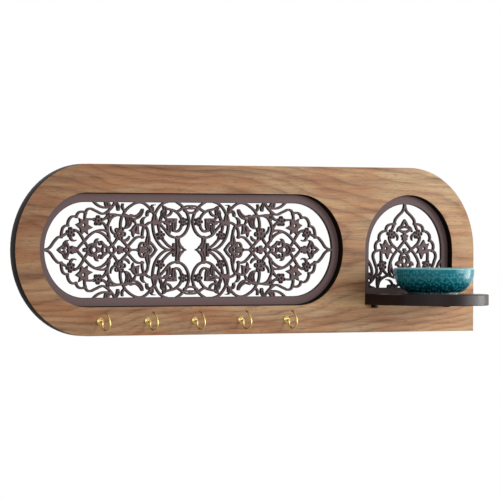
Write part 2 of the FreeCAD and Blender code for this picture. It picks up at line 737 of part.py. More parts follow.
def flat_arched(base, spring, half_width):
    """Flat face with a flat base, straight sides and a round head."""
    corners = (Vector(-half_width, base), Vector(half_width, base),
               Vector(half_width, spring), Vector(-half_width, spring))
    sides = (Part.LineSegment(corners[0], corners[1]),
             Part.LineSegment(corners[1], corners[2]),
             Part.Arc(corners[2], Vector(0, spring + half_width), corners[3]),
             Part.LineSegment(corners[3], corners[0]))
    return Part.Face(Part.Wire([side.toShape() for side in sides]))


def cut_panel(rim, opening, pieces, thickness):
    """Joins the pieces of an ornament to the border of their panel and gives it thickness."""
    border = rim.cut(opening)
    sheet = joined([border, *pieces])
    inside = sum(piece.cut(border).Area for piece in pieces)
    if len(sheet.Faces) != 1 or abs(sheet.Area - border.Area - inside) > 0.1:
        raise ValueError("the fret isn't one whole piece")
    return sheet.Faces[0].extrude(Vector(0, 0, thickness))


def stand_panel(doc, label, solid, x):
    """Makes the node of a panel that was drawn lying down: stands it up at the board's back."""
    node = doc.addObject("Part::Feature", label)
    node.Label = label
    node.Shape = solid
    node.Placement = Placement(Vector(x, 0, 0), Rotation(Vector(1, 0, 0), 90))
    return node


def make_fret(doc, sheet):
    """The long window's fret: one quarter of the ornament, mirrored both ways."""
    gaps = sheet.window_margin + sheet.window_gap + sheet.arch_width + sheet.arch_margin
    half_length = (sheet.board_length - gaps) / 2
    radius = sheet.board_height / 2 - sheet.window_margin
    grown = sheet.rebate_width - sheet.panel_clearance
    rim = flat_round_ended(half_length + grown, radius + grown)
    opening = flat_round_ended(half_length - sheet.fret_border, radius - sheet.fret_border)
    across = (half_length - sheet.fret_border) / DRAWN_TIP[0]
    up = (radius - sheet.fret_border) / DRAWN_TOP[1]

    def place_point(spot):
        return Vector(spot.x * across, spot.y * up, 0)

    overlap = sheet.line_width / 2
    room = flat_round_ended(half_length - sheet.fret_border + overlap,
                            radius - sheet.fret_border + overlap)
    room = room.common(Part.makePlane(half_length, radius))
    quarter = ornament(LONG_DRAWING, place_point, sheet.line_width, room)
    half = quarter.fuse(quarter.mirror(Vector(), Vector(0, 1, 0)))
    pieces = (half, half.mirror(Vector(), Vector(1, 0, 0)))
    solid = cut_panel(rim, opening, pieces, sheet.panel_thickness)
    middle = -sheet.board_length / 2 + sheet.window_margin + half_length
    return stand_panel(doc, "fret_panel", solid, middle)


def make_arch_fret(doc, sheet):
    """The arched window's fret: the end of the same ornament, tip up, on a rail."""
    radius = sheet.arch_width / 2
    sill = -sheet.board_height / 2 + sheet.window_margin
    spring = sheet.board_height / 2 - sheet.window_margin - radius
    grown = sheet.rebate_width - sheet.panel_clearance
    rim = flat_arched(sill - grown, spring, radius + grown)
    rail_top = sill + sheet.arch_rail
    opening = flat_arched(rail_top, spring, radius - sheet.fret_border)
    head = spring + radius - sheet.fret_border
    across = (radius - sheet.fret_border) / DRAWN_TOP[1]
    up = (head - rail_top) / (DRAWN_TIP[0] - ARCH_START[0])

    def place_point(spot):
        return Vector(spot.y * across, head - (DRAWN_TIP[0] - spot.x) * up, 0)

    overlap = sheet.line_width / 2
    room = flat_arched(rail_top - overlap, spring, radius - sheet.fret_border + overlap)
    room = room.common(Part.makePlane(radius, 2 * radius, Vector(0, rail_top - overlap, 0)))
    half = ornament(END_DRAWING, place_point, sheet.line_width, room)
    pieces = (half, half.mirror(Vector(), Vector(1, 0, 0)))
    solid = cut_panel(rim, opening, pieces, sheet.panel_thickness)
    middle = sheet.board_length / 2 - sheet.arch_margin - radius
    return stand_panel(doc, "arch_fret_panel", drill_rail(solid, sheet, sill), middle)


def drill_rail(solid, sheet, sill):
    """Countersunk holes in the arched fret's rail for the shelf screws."""
    room = sheet.bore_clearance
    shank = sheet.shelf_screw_diameter / 2 + room
    head = sheet.shelf_screw_head / 2 + room
    for name, side in SIDES:
        middle = Vector(side * (sheet.arch_width / 2 - sheet.shelf_screw_inset),
                        sill + sheet.shelf_thickness / 2, 0)
        hole = Part.makeCylinder(shank, sheet.panel_thickness, middle)
        sink = Part.makeCone(head, shank, head - shank, middle)
        solid = solid.cut(hole.fuse(sink))
    return solid


# Cup hooks

def make_hook(doc, number):
    """One hook: a straight shank, a tight bend down, a round bow and a wider tip."""
    body = new_body(doc, "hook_%d" % (number + 1))
    place(body, hook_x(number), FRONT, HOOK_Z)
    drop = "(-Sizes.neck_bend)"
    turn_in = "(Sizes.cup_depth + Sizes.neck_bend)"
    middle = "(%s + Sizes.bow_radius)" % turn_in
    outer = "(%s + 2 * Sizes.bow_radius)" % turn_in
    tip = "(%s - Sizes.tip_radius + sqrt(Sizes.tip_radius ^ 2 - Sizes.tip_rise ^ 2))" % outer
    line = new_sketch(body, "HookLine%d" % number, "YZ_Plane")
    chain(line, (
        ("Sizes.hook_shank", "0", None),
        ("-Sizes.cup_depth", "0", "Sizes.neck_bend"),
        ("-" + turn_in, drop, "-Sizes.bow_radius"),
        ("-" + middle, drop + " - Sizes.bow_radius", "-Sizes.bow_radius"),
        ("-" + outer, drop, "-Sizes.tip_radius"),
        ("-" + tip, drop + " + Sizes.tip_rise", None),
    ))
    section = new_sketch(body, "HookSection%d" % number, "XZ_Plane", raised="-Sizes.hook_shank")
    circle(section, "0", "0", "Sizes.wire_diameter / 2")
    wire = body.newObject("PartDesign::AdditivePipe", "HookWire%d" % number)
    wire.Profile = section
    wire.Spine = (line, [])
    doc.recompute()
    return body


def make_hook_cup(doc, number):
    """The small dished cup that covers a hook's hole, bored for the wire."""
    body = new_body(doc, "hook_cup_%d" % (number + 1), (Vector(1, 0, 0), 90))
    place(body, hook_x(number), FRONT, HOOK_Z)
    bore = "(Sizes.wire_diameter / 2 + Sizes.bore_clearance)"
    lip = "(%s + Sizes.cup_rim)" % bore
    sketch = new_sketch(body, "CupSection%d" % number, "XZ_Plane")
    outline(sketch, (
        (bore, "0", None),
        ("Sizes.cup_diameter / 2", "0", None),
        ("Sizes.cup_diameter / 2", "Sizes.cup_rim", "-Sizes.cup_diameter"),
        (lip, "Sizes.cup_depth", None),
        (bore, "Sizes.cup_depth", None),
    ))
    revolve(body, sketch)
    return body


# Shelf and bowl

def make_shelf(doc):
    """The shelf: a flat back against the arched fret and a round front."""
    body = new_body(doc, "shelf", (Vector(0, 0, 1), 180))
    place(body, ARCH_X, "-Sizes.panel_thickness", SILL)
    half_width = "(Sizes.arch_width / 2 - Sizes.shelf_clearance)"
    depth = "(Sizes.shelf_reach + Sizes.board_thickness - Sizes.panel_thickness)"
    top_view = new_sketch(body, "ShelfOutline", "XY_Plane")
    arched(top_view, "0", "0", "(%s - %s)" % (depth, half_width), half_width)
    block = pad(body, top_view, "Sizes.shelf_thickness")
    round_edges(body, block)
    for name, side in SIDES:
        hole = new_sketch(body, "ShelfScrewHole" + name, "XZ_Plane")
        circle(hole, "%d * (Sizes.arch_width / 2 - Sizes.shelf_screw_inset)" % side,
               "Sizes.shelf_thickness / 2",
               "(Sizes.shelf_screw_diameter / 2 + Sizes.bore_clearance)")
        pocket(body, hole, "(Sizes.shelf_screw_length - Sizes.panel_thickness)",
               along_normal=False)
    return body


def round_edges(body, block):
    """Rounds the shelf's top and bottom edges where they stand free of the board."""
    box = block.Shape.BoundBox
    edges = []
    for number, edge in enumerate(block.Shape.Edges, start=1):
        level = edge.BoundBox.ZMax - edge.BoundBox.ZMin < SAME_PLACE
        if level and edge.BoundBox.YMax > box.YMin + SAME_PLACE:
            edges.append("Edge%d" % number)
    fillet = body.newObject("PartDesign::Fillet", "ShelfRounding")
    fillet.Base = (block, edges)
    fillet.setExpression("Radius", "Sizes.shelf_round")
    body.Document.recompute()


def make_bowl(doc):
    """The round bowl on the shelf: a low foot, upright sides curving in, a rounded rim."""
    body = new_body(doc, "bowl")
    place(body, ARCH_X, "-Sizes.board_thickness - Sizes.bowl_forward",
          SILL + " + Sizes.shelf_thickness")
    side_turn = "(Sizes.bowl_height - 2 * Sizes.bowl_foot_height)"
    rim_start = "(Sizes.bowl_height - Sizes.bowl_wall / 2)"
    floor = "(Sizes.bowl_foot_height + Sizes.bowl_wall)"
    sketch = new_sketch(body, "BowlSection", "XZ_Plane")
    outline(sketch, (
        ("0", "Sizes.bowl_foot_height", None),
        ("Sizes.bowl_foot - Sizes.bowl_wall", "Sizes.bowl_foot_height", None),
        ("Sizes.bowl_foot - Sizes.bowl_wall", "0", None),
        ("Sizes.bowl_foot", "0", None),
        ("Sizes.bowl_foot", "Sizes.bowl_foot_height", side_turn),
        ("Sizes.bowl_radius", rim_start, "Sizes.bowl_wall / 2"),
        ("Sizes.bowl_radius - Sizes.bowl_wall / 2", "Sizes.bowl_height", "Sizes.bowl_wall / 2"),
        ("Sizes.bowl_radius - Sizes.bowl_wall", rim_start, "-" + side_turn),
        ("Sizes.bowl_foot - Sizes.bowl_wall", floor, None),
        ("0", floor, None),
    ))
    revolve(body, sketch)
    return body


# Pins, screws and hanger plates

def make_pin(doc, name, side):
    """A plain pin under the shelf."""
    body = new_body(doc, "shelf_pin_" + name)
    place(body, pin_x(side), FRONT, PIN_Z)
    sketch = new_sketch(body, "Pin" + name, "XZ_Plane", raised="-Sizes.pin_depth")
    circle(sketch, "0", "0", "Sizes.pin_diameter / 2")
    pad(body, sketch, "(Sizes.pin_depth + Sizes.pin_reach)")
    return body


def make_screw(doc, label, x, z, sizes):
    """A countersunk screw with its head flush in the back, whose sizes are the names of its
    diameter, head and length."""
    diameter, head, length = sizes
    body = new_body(doc, label, (Vector(1, 0, 0), 90))
    place(body, x, "0", z)
    shank = "Sizes.%s / 2" % diameter
    wide = "Sizes.%s / 2" % head
    sketch = new_sketch(body, label + "Section", "XZ_Plane")
    outline(sketch, (
        ("0", "0", None),
        (wide, "0", None),
        (shank, "%s - %s" % (wide, shank), None),
        (shank, "Sizes.%s - Sizes.%s" % (length, diameter), None),
        ("0", "Sizes.%s" % length, None),
    ))
    revolve(body, sketch)
    return body


def make_hanger(doc, name, side):
    """A flat keyhole plate let into the back: the keyhole's narrow slot is at the top."""
    body = new_body(doc, "hanger_" + name)
    place(body, hanger_x(side), "0", HANGER_Z)
    plate = new_sketch(body, "Plate" + name, "XZ_Plane")
    round_ended(plate, "0", "0", "Sizes.hanger_length / 2", "(Sizes.hanger_height / 2)")
    pad(body, plate, "Sizes.hanger_thickness")
    entry = new_sketch(body, "Entry" + name, "XZ_Plane")
    circle(entry, "0", "-Sizes.keyhole_rise / 2", "Sizes.keyhole_entry / 2")
    pocket(body, entry, "Sizes.hanger_thickness")
    slot = new_sketch(body, "Slot" + name, "XZ_Plane")
    arched(slot, "0", "-Sizes.keyhole_rise / 2", "Sizes.keyhole_rise / 2",
           "Sizes.keyhole_slot / 2")
    pocket(body, slot, "Sizes.hanger_thickness")
    for end_name, end in SIDES:
        hole = new_sketch(body, "PlateHole" + name + end_name, "XZ_Plane")
        circle(hole, "%d * Sizes.plate_screw_spacing / 2" % end, "0",
               "(Sizes.plate_screw_diameter / 2 + Sizes.bore_clearance)")
        pocket(body, hole, "Sizes.hanger_thickness")
        sink_edge(body, name + end_name, end)
    return body


def sink_edge(body, name, end):
    """Countersinks the screw hole at one end of a hanger plate."""
    sink = body.newObject("PartDesign::SubtractiveCone", "Sink" + name)
    sink.Placement.Rotation = Rotation(Vector(1, 0, 0), 90)
    sink.setExpression(".Placement.Base.x", "%d * Sizes.plate_screw_spacing / 2" % end)
    sink.setExpression("Radius1", "Sizes.plate_screw_head / 2 + Sizes.bore_clearance")
    sink.setExpression("Radius2", "Sizes.plate_screw_diameter / 2 + Sizes.bore_clearance")
    sink.setExpression("Height", "(Sizes.plate_screw_head - Sizes.plate_screw_diameter) / 2")
    body.Document.recompute()


# The whole

def make_fittings(doc):
    """Hooks, pins, screws and hanger plates."""
    parts = [make_hook(doc, number) for number in range(HOOK_COUNT)]
    parts += [make_hook_cup(doc, number) for number in range(HOOK_COUNT)]
    shelf_screw = ("shelf_screw_diameter", "shelf_screw_head", "shelf_screw_length")
    plate_screw = ("plate_screw_diameter", "plate_screw_head", "plate_screw_length")
    for name, side in SIDES:
        parts.append(make_pin(doc, name, side))
        parts.append(make_screw(doc, "shelf_screw_" + name, shelf_screw_x(side), SCREW_Z,
                                shelf_screw))
        parts.append(make_hanger(doc, name, side))
        for end_name, end in SIDES:
            x = "%s + %d * Sizes.plate_screw_spacing / 2" % (hanger_x(side), end)
            parts.append(make_screw(doc, "hanger_screw_%s_%s" % (name, end_name), x,
                                    HANGER_Z, plate_screw))
    return parts


def check(doc, parts):
    """Stops where an object has an error or a part isn't one valid solid."""
    for item in doc.Objects:
        if "Invalid" in item.State or "Error" in item.State:
            raise ValueError("%s: %s" % (item.Label, item.State))
    for node in parts:
        shape = node.Shape
        if shape.isNull() or not shape.isValid() or len(shape.Solids) != 1:
            raise ValueError("%s isn't one valid solid" % node.Label)


def main():
    doc = FreeCAD.newDocument("WallKeyHolder")
    sheet = make_sheet(doc)
    parts = [make_board(doc), make_fret(doc, sheet), make_arch_fret(doc, sheet)]
    parts += [make_shelf(doc), make_bowl(doc)]
    parts += make_fittings(doc)
    doc.recompute()
    check(doc, parts)
    os.makedirs("parts", exist_ok=True)
    for node in parts:
        node.Shape.exportStep("parts/%s.step" % node.Label)
        print("%-24s %8.0f mm3" % (node.Label, node.Shape.Volume))


if __name__ == "__main__":
    main()
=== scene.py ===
"""Wall key holder: finishes, fine fretwork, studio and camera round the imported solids.

All lengths are in metres unless a name ends in _mm. The row frame has +X to the right along
the board, +Z up and the front of the board facing -Y, with the wall at y = 0.
"""

import json
import logging
import math
from collections import Counter
from collections.abc import Sequence
from dataclasses import dataclass, field
from enum import Enum
from typing import Any

import bpy
from mathutils import Matrix, Vector
from mathutils.geometry import delaunay_2d_cdt, interpolate_bezier

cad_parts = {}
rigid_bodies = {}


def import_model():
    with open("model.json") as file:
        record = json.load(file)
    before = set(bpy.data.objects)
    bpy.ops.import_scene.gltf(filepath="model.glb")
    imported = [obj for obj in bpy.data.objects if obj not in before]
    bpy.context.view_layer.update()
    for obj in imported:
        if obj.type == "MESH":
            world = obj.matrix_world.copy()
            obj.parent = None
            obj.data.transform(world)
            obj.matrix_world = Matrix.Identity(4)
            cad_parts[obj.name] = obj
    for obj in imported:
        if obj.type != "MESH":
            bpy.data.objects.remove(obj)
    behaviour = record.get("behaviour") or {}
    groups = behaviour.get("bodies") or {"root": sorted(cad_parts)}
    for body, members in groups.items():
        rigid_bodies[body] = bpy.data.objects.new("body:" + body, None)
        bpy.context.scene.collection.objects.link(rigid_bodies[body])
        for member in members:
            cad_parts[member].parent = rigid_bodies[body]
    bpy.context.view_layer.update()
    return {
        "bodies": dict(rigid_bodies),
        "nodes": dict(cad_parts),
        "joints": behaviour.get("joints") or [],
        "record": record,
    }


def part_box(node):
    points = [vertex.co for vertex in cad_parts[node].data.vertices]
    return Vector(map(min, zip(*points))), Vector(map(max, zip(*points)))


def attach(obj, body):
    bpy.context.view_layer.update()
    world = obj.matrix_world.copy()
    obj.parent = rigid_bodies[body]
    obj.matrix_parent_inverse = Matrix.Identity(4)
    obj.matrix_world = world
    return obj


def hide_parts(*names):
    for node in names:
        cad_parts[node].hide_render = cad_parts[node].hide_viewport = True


Colour = tuple[float, float, float, float]
Span = tuple[float, float]
Spot = tuple[float, float]
SizedSpot = tuple[float, float, float]

MM = 0.001
LOG = logging.getLogger("wall_key_holder")


# Helpers


def linear(hex_colour: str) -> Colour:
    """Turns an sRGB hex colour into linear light.

    Args:
        hex_colour: Six hex digits, such as "A0785A".

    Returns:
        Red, green, blue and an alpha of 1.
    """
    channels = [int(hex_colour[start:start + 2], 16) / 255 for start in (0, 2, 4)]
    light = [c / 12.92 if c <= 0.04045 else ((c + 0.055) / 1.055) ** 2.4 for c in channels]
    return (light[0], light[1], light[2], 1.0)


def add_node(
    tree: bpy.types.NodeTree,
    kind: str,
    settings: dict[str, Any] | None = None,
    inputs: dict[str | int, Any] | None = None,
    stops: Sequence[tuple[float, Colour]] = (),
) -> bpy.types.Node:
    """Adds a node, sets its properties and fills its inputs with values or links.

    Args:
        tree: The node tree to add to.
        kind: The node's type name without its "ShaderNode".
        settings: Properties of the node by name.
        inputs: Values, output sockets or nodes, by input name or number. A node stands for
            its first output.
        stops: The places and colours of a ramp, in order.

    Returns:
        The new node.
    """
    node = tree.nodes.new("ShaderNode" + kind)
    for name, value in (settings or {}).items():
        setattr(node, name, value)
    for key, value in (inputs or {}).items():
        source = value.outputs[0] if isinstance(value, bpy.types.Node) else value
        if isinstance(source, bpy.types.NodeSocket):
            tree.links.new(source, node.inputs[key])
        else:
            node.inputs[key].default_value = source
    for number, (spot, colour) in enumerate(stops):
        marks = node.color_ramp.elements
        mark = marks[number] if number < 2 else marks.new(spot)
        mark.position, mark.color = spot, colour
    return node


def new_material(name: str) -> tuple[bpy.types.Material, bpy.types.Node]:
    """Makes a node material with its surface shader.

    Args:
        name: The real material's name.

    Returns:
        The material and its shader node.
    """
    material = bpy.data.materials.new(name)
    material.use_nodes = True
    tree = material.node_tree
    tree.nodes.clear()
    shader = add_node(tree, "BsdfPrincipled")
    add_node(tree, "OutputMaterial", inputs={"Surface": shader})
    return material, shader


def dress(item: bpy.types.Object, material: bpy.types.Material) -> None:
    """Puts one material in every slot of an object.

    Args:
        item: The object to dress.
        material: The material.
    """
    if not item.material_slots:
        item.data.materials.append(material)
    for place in item.material_slots:
        place.material = material


# Finishes


@dataclass(frozen=True)
class Grain:
    """A cloudy pattern, with a real length and height for one step of it."""

    run_mm: float
    height_mm: float
    detail: float
    roughness: float = 0.5
    fourth: float | None = None

    def value(
        self, tree: bpy.types.NodeTree, place: bpy.types.NodeSocket
    ) -> bpy.types.NodeSocket:
        """Adds the pattern to a material.

        Args:
            tree: The material's tree.
            place: The place in metres.

        Returns:
            The pattern's value, from 0 to 1.
        """
        across = 1 / (self.height_mm * MM)
        scaled = add_node(
            tree, "VectorMath", {"operation": "MULTIPLY"},
            {0: place, 1: (1 / (self.run_mm * MM), across, across)})
        cloud = add_node(
            tree, "TexNoise", inputs={
                "Vector": scaled, "Scale": 1.0, "Detail": self.detail,
                "Roughness": self.roughness})
        if self.fourth is not None:
            cloud.noise_dimensions = "4D"
            cloud.inputs["W"].default_value = self.fourth
        return cloud.outputs["Fac"]


@dataclass(frozen=True)
class Gloss:
    """How a finish shines, and the depth of its fine relief."""

    roughness: float
    ior: float
    specular: float
    relief: float
    relief_mm: float
    is_sunk: bool = False

    def put_on(
        self, tree: bpy.types.NodeTree, shader: bpy.types.Node,
        colour: bpy.types.NodeSocket, height: bpy.types.NodeSocket
    ) -> None:
        """Gives a shader its colour, its shine and its relief.

        Args:
            tree: The material's tree.
            shader: The surface shader.
            colour: The colour.
            height: The relief's height, from 0 to 1, or its depth where it is sunk.
        """
        tree.links.new(colour, shader.inputs["Base Color"])
        shader.inputs["Roughness"].default_value = self.roughness
        shader.inputs["IOR"].default_value = self.ior
        shader.inputs["Specular IOR Level"].default_value = self.specular
        bump = add_node(
            tree, "Bump", {"invert": self.is_sunk}, {
                "Strength": self.relief, "Distance": self.relief_mm * MM,
                "Height": height})
        tree.links.new(bump.outputs[0], shader.inputs["Normal"])


@dataclass(frozen=True)
class WalnutVeneer:
    """Walnut veneer, sliced flat and lacquered satin, on a board with dark sealed edges.

    The eye gets nested arches of growth rings that lie along the board with their heads to
    the right, fine fibres, small dark pores, painted shade that leaves the left end darker
    and redder than the right one, and near-black edges and window walls. Real fibres and
    pores are about 0.2 mm high. They are drawn coarser here, because they wouldn't show
    otherwise.
    """

    dark: str = "755942"
    middle: str = "A18364"
    pale: str = "C2A57D"
    warm: str = "F6DFD3"
    pore: str = "5A4230"
    # Colour of the painted shade laid over the left end
    left_painted_shade: str = "DCCBC2"
    edge: str = "170D08"
    arris: str = "1E120D"
    back: str = "6B4C38"
    ring_run_mm: float = 60.0
    ring_height_mm: float = 36.0
    ring_sway: float = 5.0
    ring_share: float = 0.25
    fibre_share: float = 0.3
    pore_share: float = 0.5
    tone_places: tuple[float, float, float] = (0.34, 0.5, 0.68)
    ring_tones: tuple[tuple[float, float], ...] = (
        (0.0, 0.2), (0.14, 0.75), (0.45, 0.85), (0.8, 0.55), (1.0, 0.15))
    pore_range: Span = (0.6, 0.72)
    warm_range: Span = (0.4, 0.6)
    left_shade_range: Span = (-0.2, 0.3)
    front_lean: float = 0.93
    sway: Grain = Grain(170.0, 55.0, 2.5)
    cloud: Grain = Grain(130.0, 7.0, 4.0, 0.6)
    fibres: Grain = Grain(32.0, 0.9, 3.0, 0.65)
    pores: Grain = Grain(7.0, 0.7, 1.0)
    hue: Grain = Grain(70.0, 16.0, 2.0, fourth=3.0)
    gloss: Gloss = Gloss(0.45, 1.5, 0.12, relief=0.25, relief_mm=0.06, is_sunk=True)

    def material(self) -> bpy.types.Material:
        """Builds the material.

        Returns:
            The material.
        """
        material, shader = new_material("walnut veneer with sealed edges")
        tree = material.node_tree
        place = add_node(tree, "TexCoord").outputs["Object"]
        grain = add_node(
            tree, "Mix", {"data_type": "FLOAT"}, {
                "Factor": self.ring_share, 2: self.cloud.value(tree, place),
                3: self.rings(tree, place)})
        blend = add_node(
            tree, "Mix", {"data_type": "FLOAT"}, {
                "Factor": self.fibre_share, 2: grain, 3: self.fibres.value(tree, place)})
        tones = (linear(self.dark), linear(self.middle), linear(self.pale))
        wood = add_node(
            tree, "ValToRGB", inputs={"Fac": blend}, stops=list(zip(self.tone_places, tones)))
        pored = add_node(
            tree, "MapRange", inputs={
                "Value": self.pores.value(tree, place), "From Min": self.pore_range[0],
                "From Max": self.pore_range[1], "To Max": self.pore_share})
        grained = add_node(
            tree, "Mix", {"data_type": "RGBA"},
            {"Factor": pored, 6: wood, 7: linear(self.pore)})
        warmth = add_node(
            tree, "MapRange", inputs={
                "Value": self.hue.value(tree, place), "From Min": self.warm_range[0],
                "From Max": self.warm_range[1]})
        warmed = add_node(
            tree, "Mix", {"data_type": "RGBA", "blend_type": "MULTIPLY"},
            {"Factor": warmth, 6: grained.outputs[2], 7: linear(self.warm)})
        # Painted shade: the left end darker and redder than the right
        front = self.with_left_painted_shade(tree, place, warmed.outputs[2])
        self.gloss.put_on(tree, shader, self.with_edges(tree, front), pored.outputs[0])
        return material

    def rings(
        self, tree: bpy.types.NodeTree, place: bpy.types.NodeSocket
    ) -> bpy.types.NodeSocket:
        """The growth rings of a flat slice: nested arches, each pale and then quickly dark.

        Args:
            tree: The material's tree.
            place: The place in metres.

        Returns:
            The ring's tone, from 0 for dark to 1 for pale.
        """
        parts = add_node(tree, "SeparateXYZ", inputs={0: place})
        along = add_node(
            tree, "Math", {"operation": "DIVIDE"},
            {0: parts.outputs["X"], 1: self.ring_run_mm * MM})
        height = add_node(
            tree, "Math", {"operation": "DIVIDE"},
            {0: parts.outputs["Z"], 1: self.ring_height_mm * MM})
        arch = add_node(
            tree, "Math", {"operation": "MULTIPLY_ADD"}, {0: height, 1: height, 2: along})
        number = add_node(
            tree, "Math", {"operation": "MULTIPLY_ADD"},
            {0: self.sway.value(tree, place), 1: self.ring_sway, 2: arch})
        step = add_node(tree, "Math", {"operation": "FRACT"}, {0: number})
        return add_node(tree, "ValToRGB", inputs={"Fac": step}, stops=[
            (spot, (tone, tone, tone, 1)) for spot, tone in self.ring_tones]).outputs["Color"]

    def with_left_painted_shade(
        self, tree: bpy.types.NodeTree, place: bpy.types.NodeSocket,
        colour: bpy.types.NodeSocket
    ) -> bpy.types.NodeSocket:
        """Paints shade on the left end: a little darker and redder than the right one.

        Args:
            tree: The material's tree.
            place: The place in metres.
            colour: The wood's colour.

        Returns:
            The colour with the painted shade.
        """
        parts = add_node(tree, "SeparateXYZ", inputs={0: place})
        share = add_node(
            tree, "MapRange", inputs={
                "Value": parts.outputs["X"], "From Min": self.left_shade_range[0],
                "From Max": self.left_shade_range[1], "To Min": 1.0, "To Max": 0.0})
        return add_node(
            tree, "Mix", {"data_type": "RGBA", "blend_type": "MULTIPLY"},
            {"Factor": share, 6: colour, 7: linear(self.left_painted_shade)}).outputs[2]

    def with_edges(
        self, tree: bpy.types.NodeTree, front: bpy.types.NodeSocket
    ) -> bpy.types.NodeSocket:
        """Gives the sides, the arris and the back their own colours by the way they face.

        Args:
            tree: The material's tree.
            front: The colour of the front.

        Returns:
            The whole board's colour.
        """
        facing = add_node(tree, "NewGeometry").outputs["Normal"]
        parts = add_node(tree, "SeparateXYZ", inputs={0: facing})
        backward = parts.outputs["Y"]
        # On the ramp, 0 faces the front, 0.5 faces aside and 1 faces the wall
        zones = add_node(
            tree, "MapRange", inputs={"Value": backward, "From Min": -1.0, "From Max": 1.0})
        faces = add_node(tree, "ValToRGB", inputs={"Fac": zones}, stops=(
            (0.0, linear(self.arris)), (0.3, linear(self.edge)), (0.9, linear(self.back))))
        faces.color_ramp.interpolation = "CONSTANT"
        is_front = add_node(
            tree, "Math", {"operation": "LESS_THAN"}, {0: backward, 1: -self.front_lean})
        return add_node(
            tree, "Mix", {"data_type": "RGBA"},
            {"Factor": is_front, 6: faces, 7: front}).outputs[2]


@dataclass(frozen=True)
class LaserCutBoard:
    """Stained fibreboard cut by laser: a matt grey-brown face, charred near-black walls and
    painted shade.

    The real fibres are finer than 0.3 mm. They are drawn coarser here, because they wouldn't
    show otherwise.
    """

    face: str = "5E4B4B"
    face_pale: str = "6A5756"
    # Near-black of the charred walls and edges, also used for the painted shade beside the
    # window's wall
    burnt_and_shade: str = "0E0808"
    # Width and fade of the band of painted shade beside the window's wall
    painted_shade_mm: float = 1.3
    painted_shade_fade_mm: float = 0.3
    scorch_mm: float = 1.6
    scorch_range: Span = (0.95, 0.998)
    face_lean: float = 0.9
    edge_samples: int = 6
    fibres: Grain = Grain(1.6, 1.6, 3.0, 0.7)
    gloss: Gloss = Gloss(0.6, 1.45, 0.15, relief=0.15, relief_mm=0.05)

    def material(
        self, name: str, low: Vector, high: Vector, radius: float
    ) -> bpy.types.Material:
        """Builds the material, with a band of painted shade on the face beside the window's
        wall.

        Args:
            name: What the panel is called.
            low: The low end of the line that the window's outline runs round.
            high: The high end of that line.
            radius: The distance from that line to the window's wall.

        Returns:
            The material.
        """
        material, shader = new_material(f"stained laser-cut fibreboard, {name}")
        tree = material.node_tree
        place = add_node(tree, "TexCoord").outputs["Object"]
        fibres = self.fibres.value(tree, place)
        face = add_node(
            tree, "Mix", {"data_type": "RGBA"},
            {"Factor": fibres, 6: linear(self.face), 7: linear(self.face_pale)})
        facing = add_node(tree, "NewGeometry").outputs["Normal"]
        parts = add_node(tree, "SeparateXYZ", inputs={0: facing})
        flat = add_node(tree, "Math", {"operation": "ABSOLUTE"}, {0: parts.outputs["Y"]})
        is_face = add_node(
            tree, "Math", {"operation": "GREATER_THAN"}, {0: flat, 1: self.face_lean})
        # The face, except the band of painted shade beside the window's wall
        is_bare = add_node(
            tree, "Math", {"operation": "MULTIPLY"},
            {0: is_face, 1: self.clear_of_painted_shade(tree, place, low, high, radius)})
        # Near an edge the rounded direction leans away from the real one
        rounded = add_node(
            tree, "Bevel", {"samples": self.edge_samples}, {"Radius": self.scorch_mm * MM})
        lean = add_node(
            tree, "VectorMath", {"operation": "DOT_PRODUCT"}, {0: rounded, 1: facing})
        clear = add_node(
            tree, "MapRange", inputs={
                "Value": lean.outputs["Value"], "From Min": self.scorch_range[0],
                "From Max": self.scorch_range[1]})
        is_pale = add_node(
            tree, "Math", {"operation": "MULTIPLY"}, {0: is_bare, 1: clear})
        colour = add_node(
            tree, "Mix", {"data_type": "RGBA"},
            {"Factor": is_pale, 6: linear(self.burnt_and_shade), 7: face.outputs[2]})
        self.gloss.put_on(tree, shader, colour.outputs[2], fibres)
        return material

    def clear_of_painted_shade(
        self, tree: bpy.types.NodeTree, place: bpy.types.NodeSocket, low: Vector,
        high: Vector, radius: float
    ) -> bpy.types.NodeSocket:
        """Whether a place lies clear of the band of painted shade beside the window's wall.

        Args:
            tree: The material's tree.
            place: The place in metres.
            low: The low end of the line that the window's outline runs round.
            high: The high end of that line.
            radius: The distance from that line to the window's wall.

        Returns:
            1 clear of the painted shade, 0 in it.
        """
        flat = add_node(
            tree, "VectorMath", {"operation": "MULTIPLY"}, {0: place, 1: (1, 0, 1)})
        above = add_node(tree, "VectorMath", {"operation": "MAXIMUM"}, {0: flat, 1: low})
        nearest = add_node(tree, "VectorMath", {"operation": "MINIMUM"}, {0: above, 1: high})
        reach = add_node(
            tree, "VectorMath", {"operation": "DISTANCE"}, {0: flat, 1: nearest})
        # Where the painted shade begins, short of the window's wall
        shade_edge = radius - self.painted_shade_mm * MM
        return add_node(
            tree, "MapRange", inputs={
                "Value": reach.outputs["Value"], "From Min": shade_edge,
                "From Max": shade_edge + self.painted_shade_fade_mm * MM, "To Min": 1.0,
                "To Max": 0.0}).outputs[0]


@dataclass(frozen=True)
class DarkStainedWood:
    """Hardwood with a dark stain and a satin lacquer: almost black, with a faint grain.

    The real grain is finer. It is drawn coarser here, because it wouldn't show otherwise.
    """

    dark: str = "130808"
    pale: str = "241311"
    grain: Grain = Grain(40.0, 1.4, 4.0, 0.6)
    gloss: Gloss = Gloss(0.38, 1.5, 0.2, relief=0.2, relief_mm=0.05)

    def material(self) -> bpy.types.Material:
        """Builds the material.

        Returns:
            The material.
        """
        material, shader = new_material("dark stained hardwood")
        tree = material.node_tree
        grain = self.grain.value(tree, add_node(tree, "TexCoord").outputs["Object"])
        colour = add_node(
            tree, "Mix", {"data_type": "RGBA"},
            {"Factor": grain, 6: linear(self.dark), 7: linear(self.pale)})
        self.gloss.put_on(tree, shader, colour.outputs[2], grain)
        return material


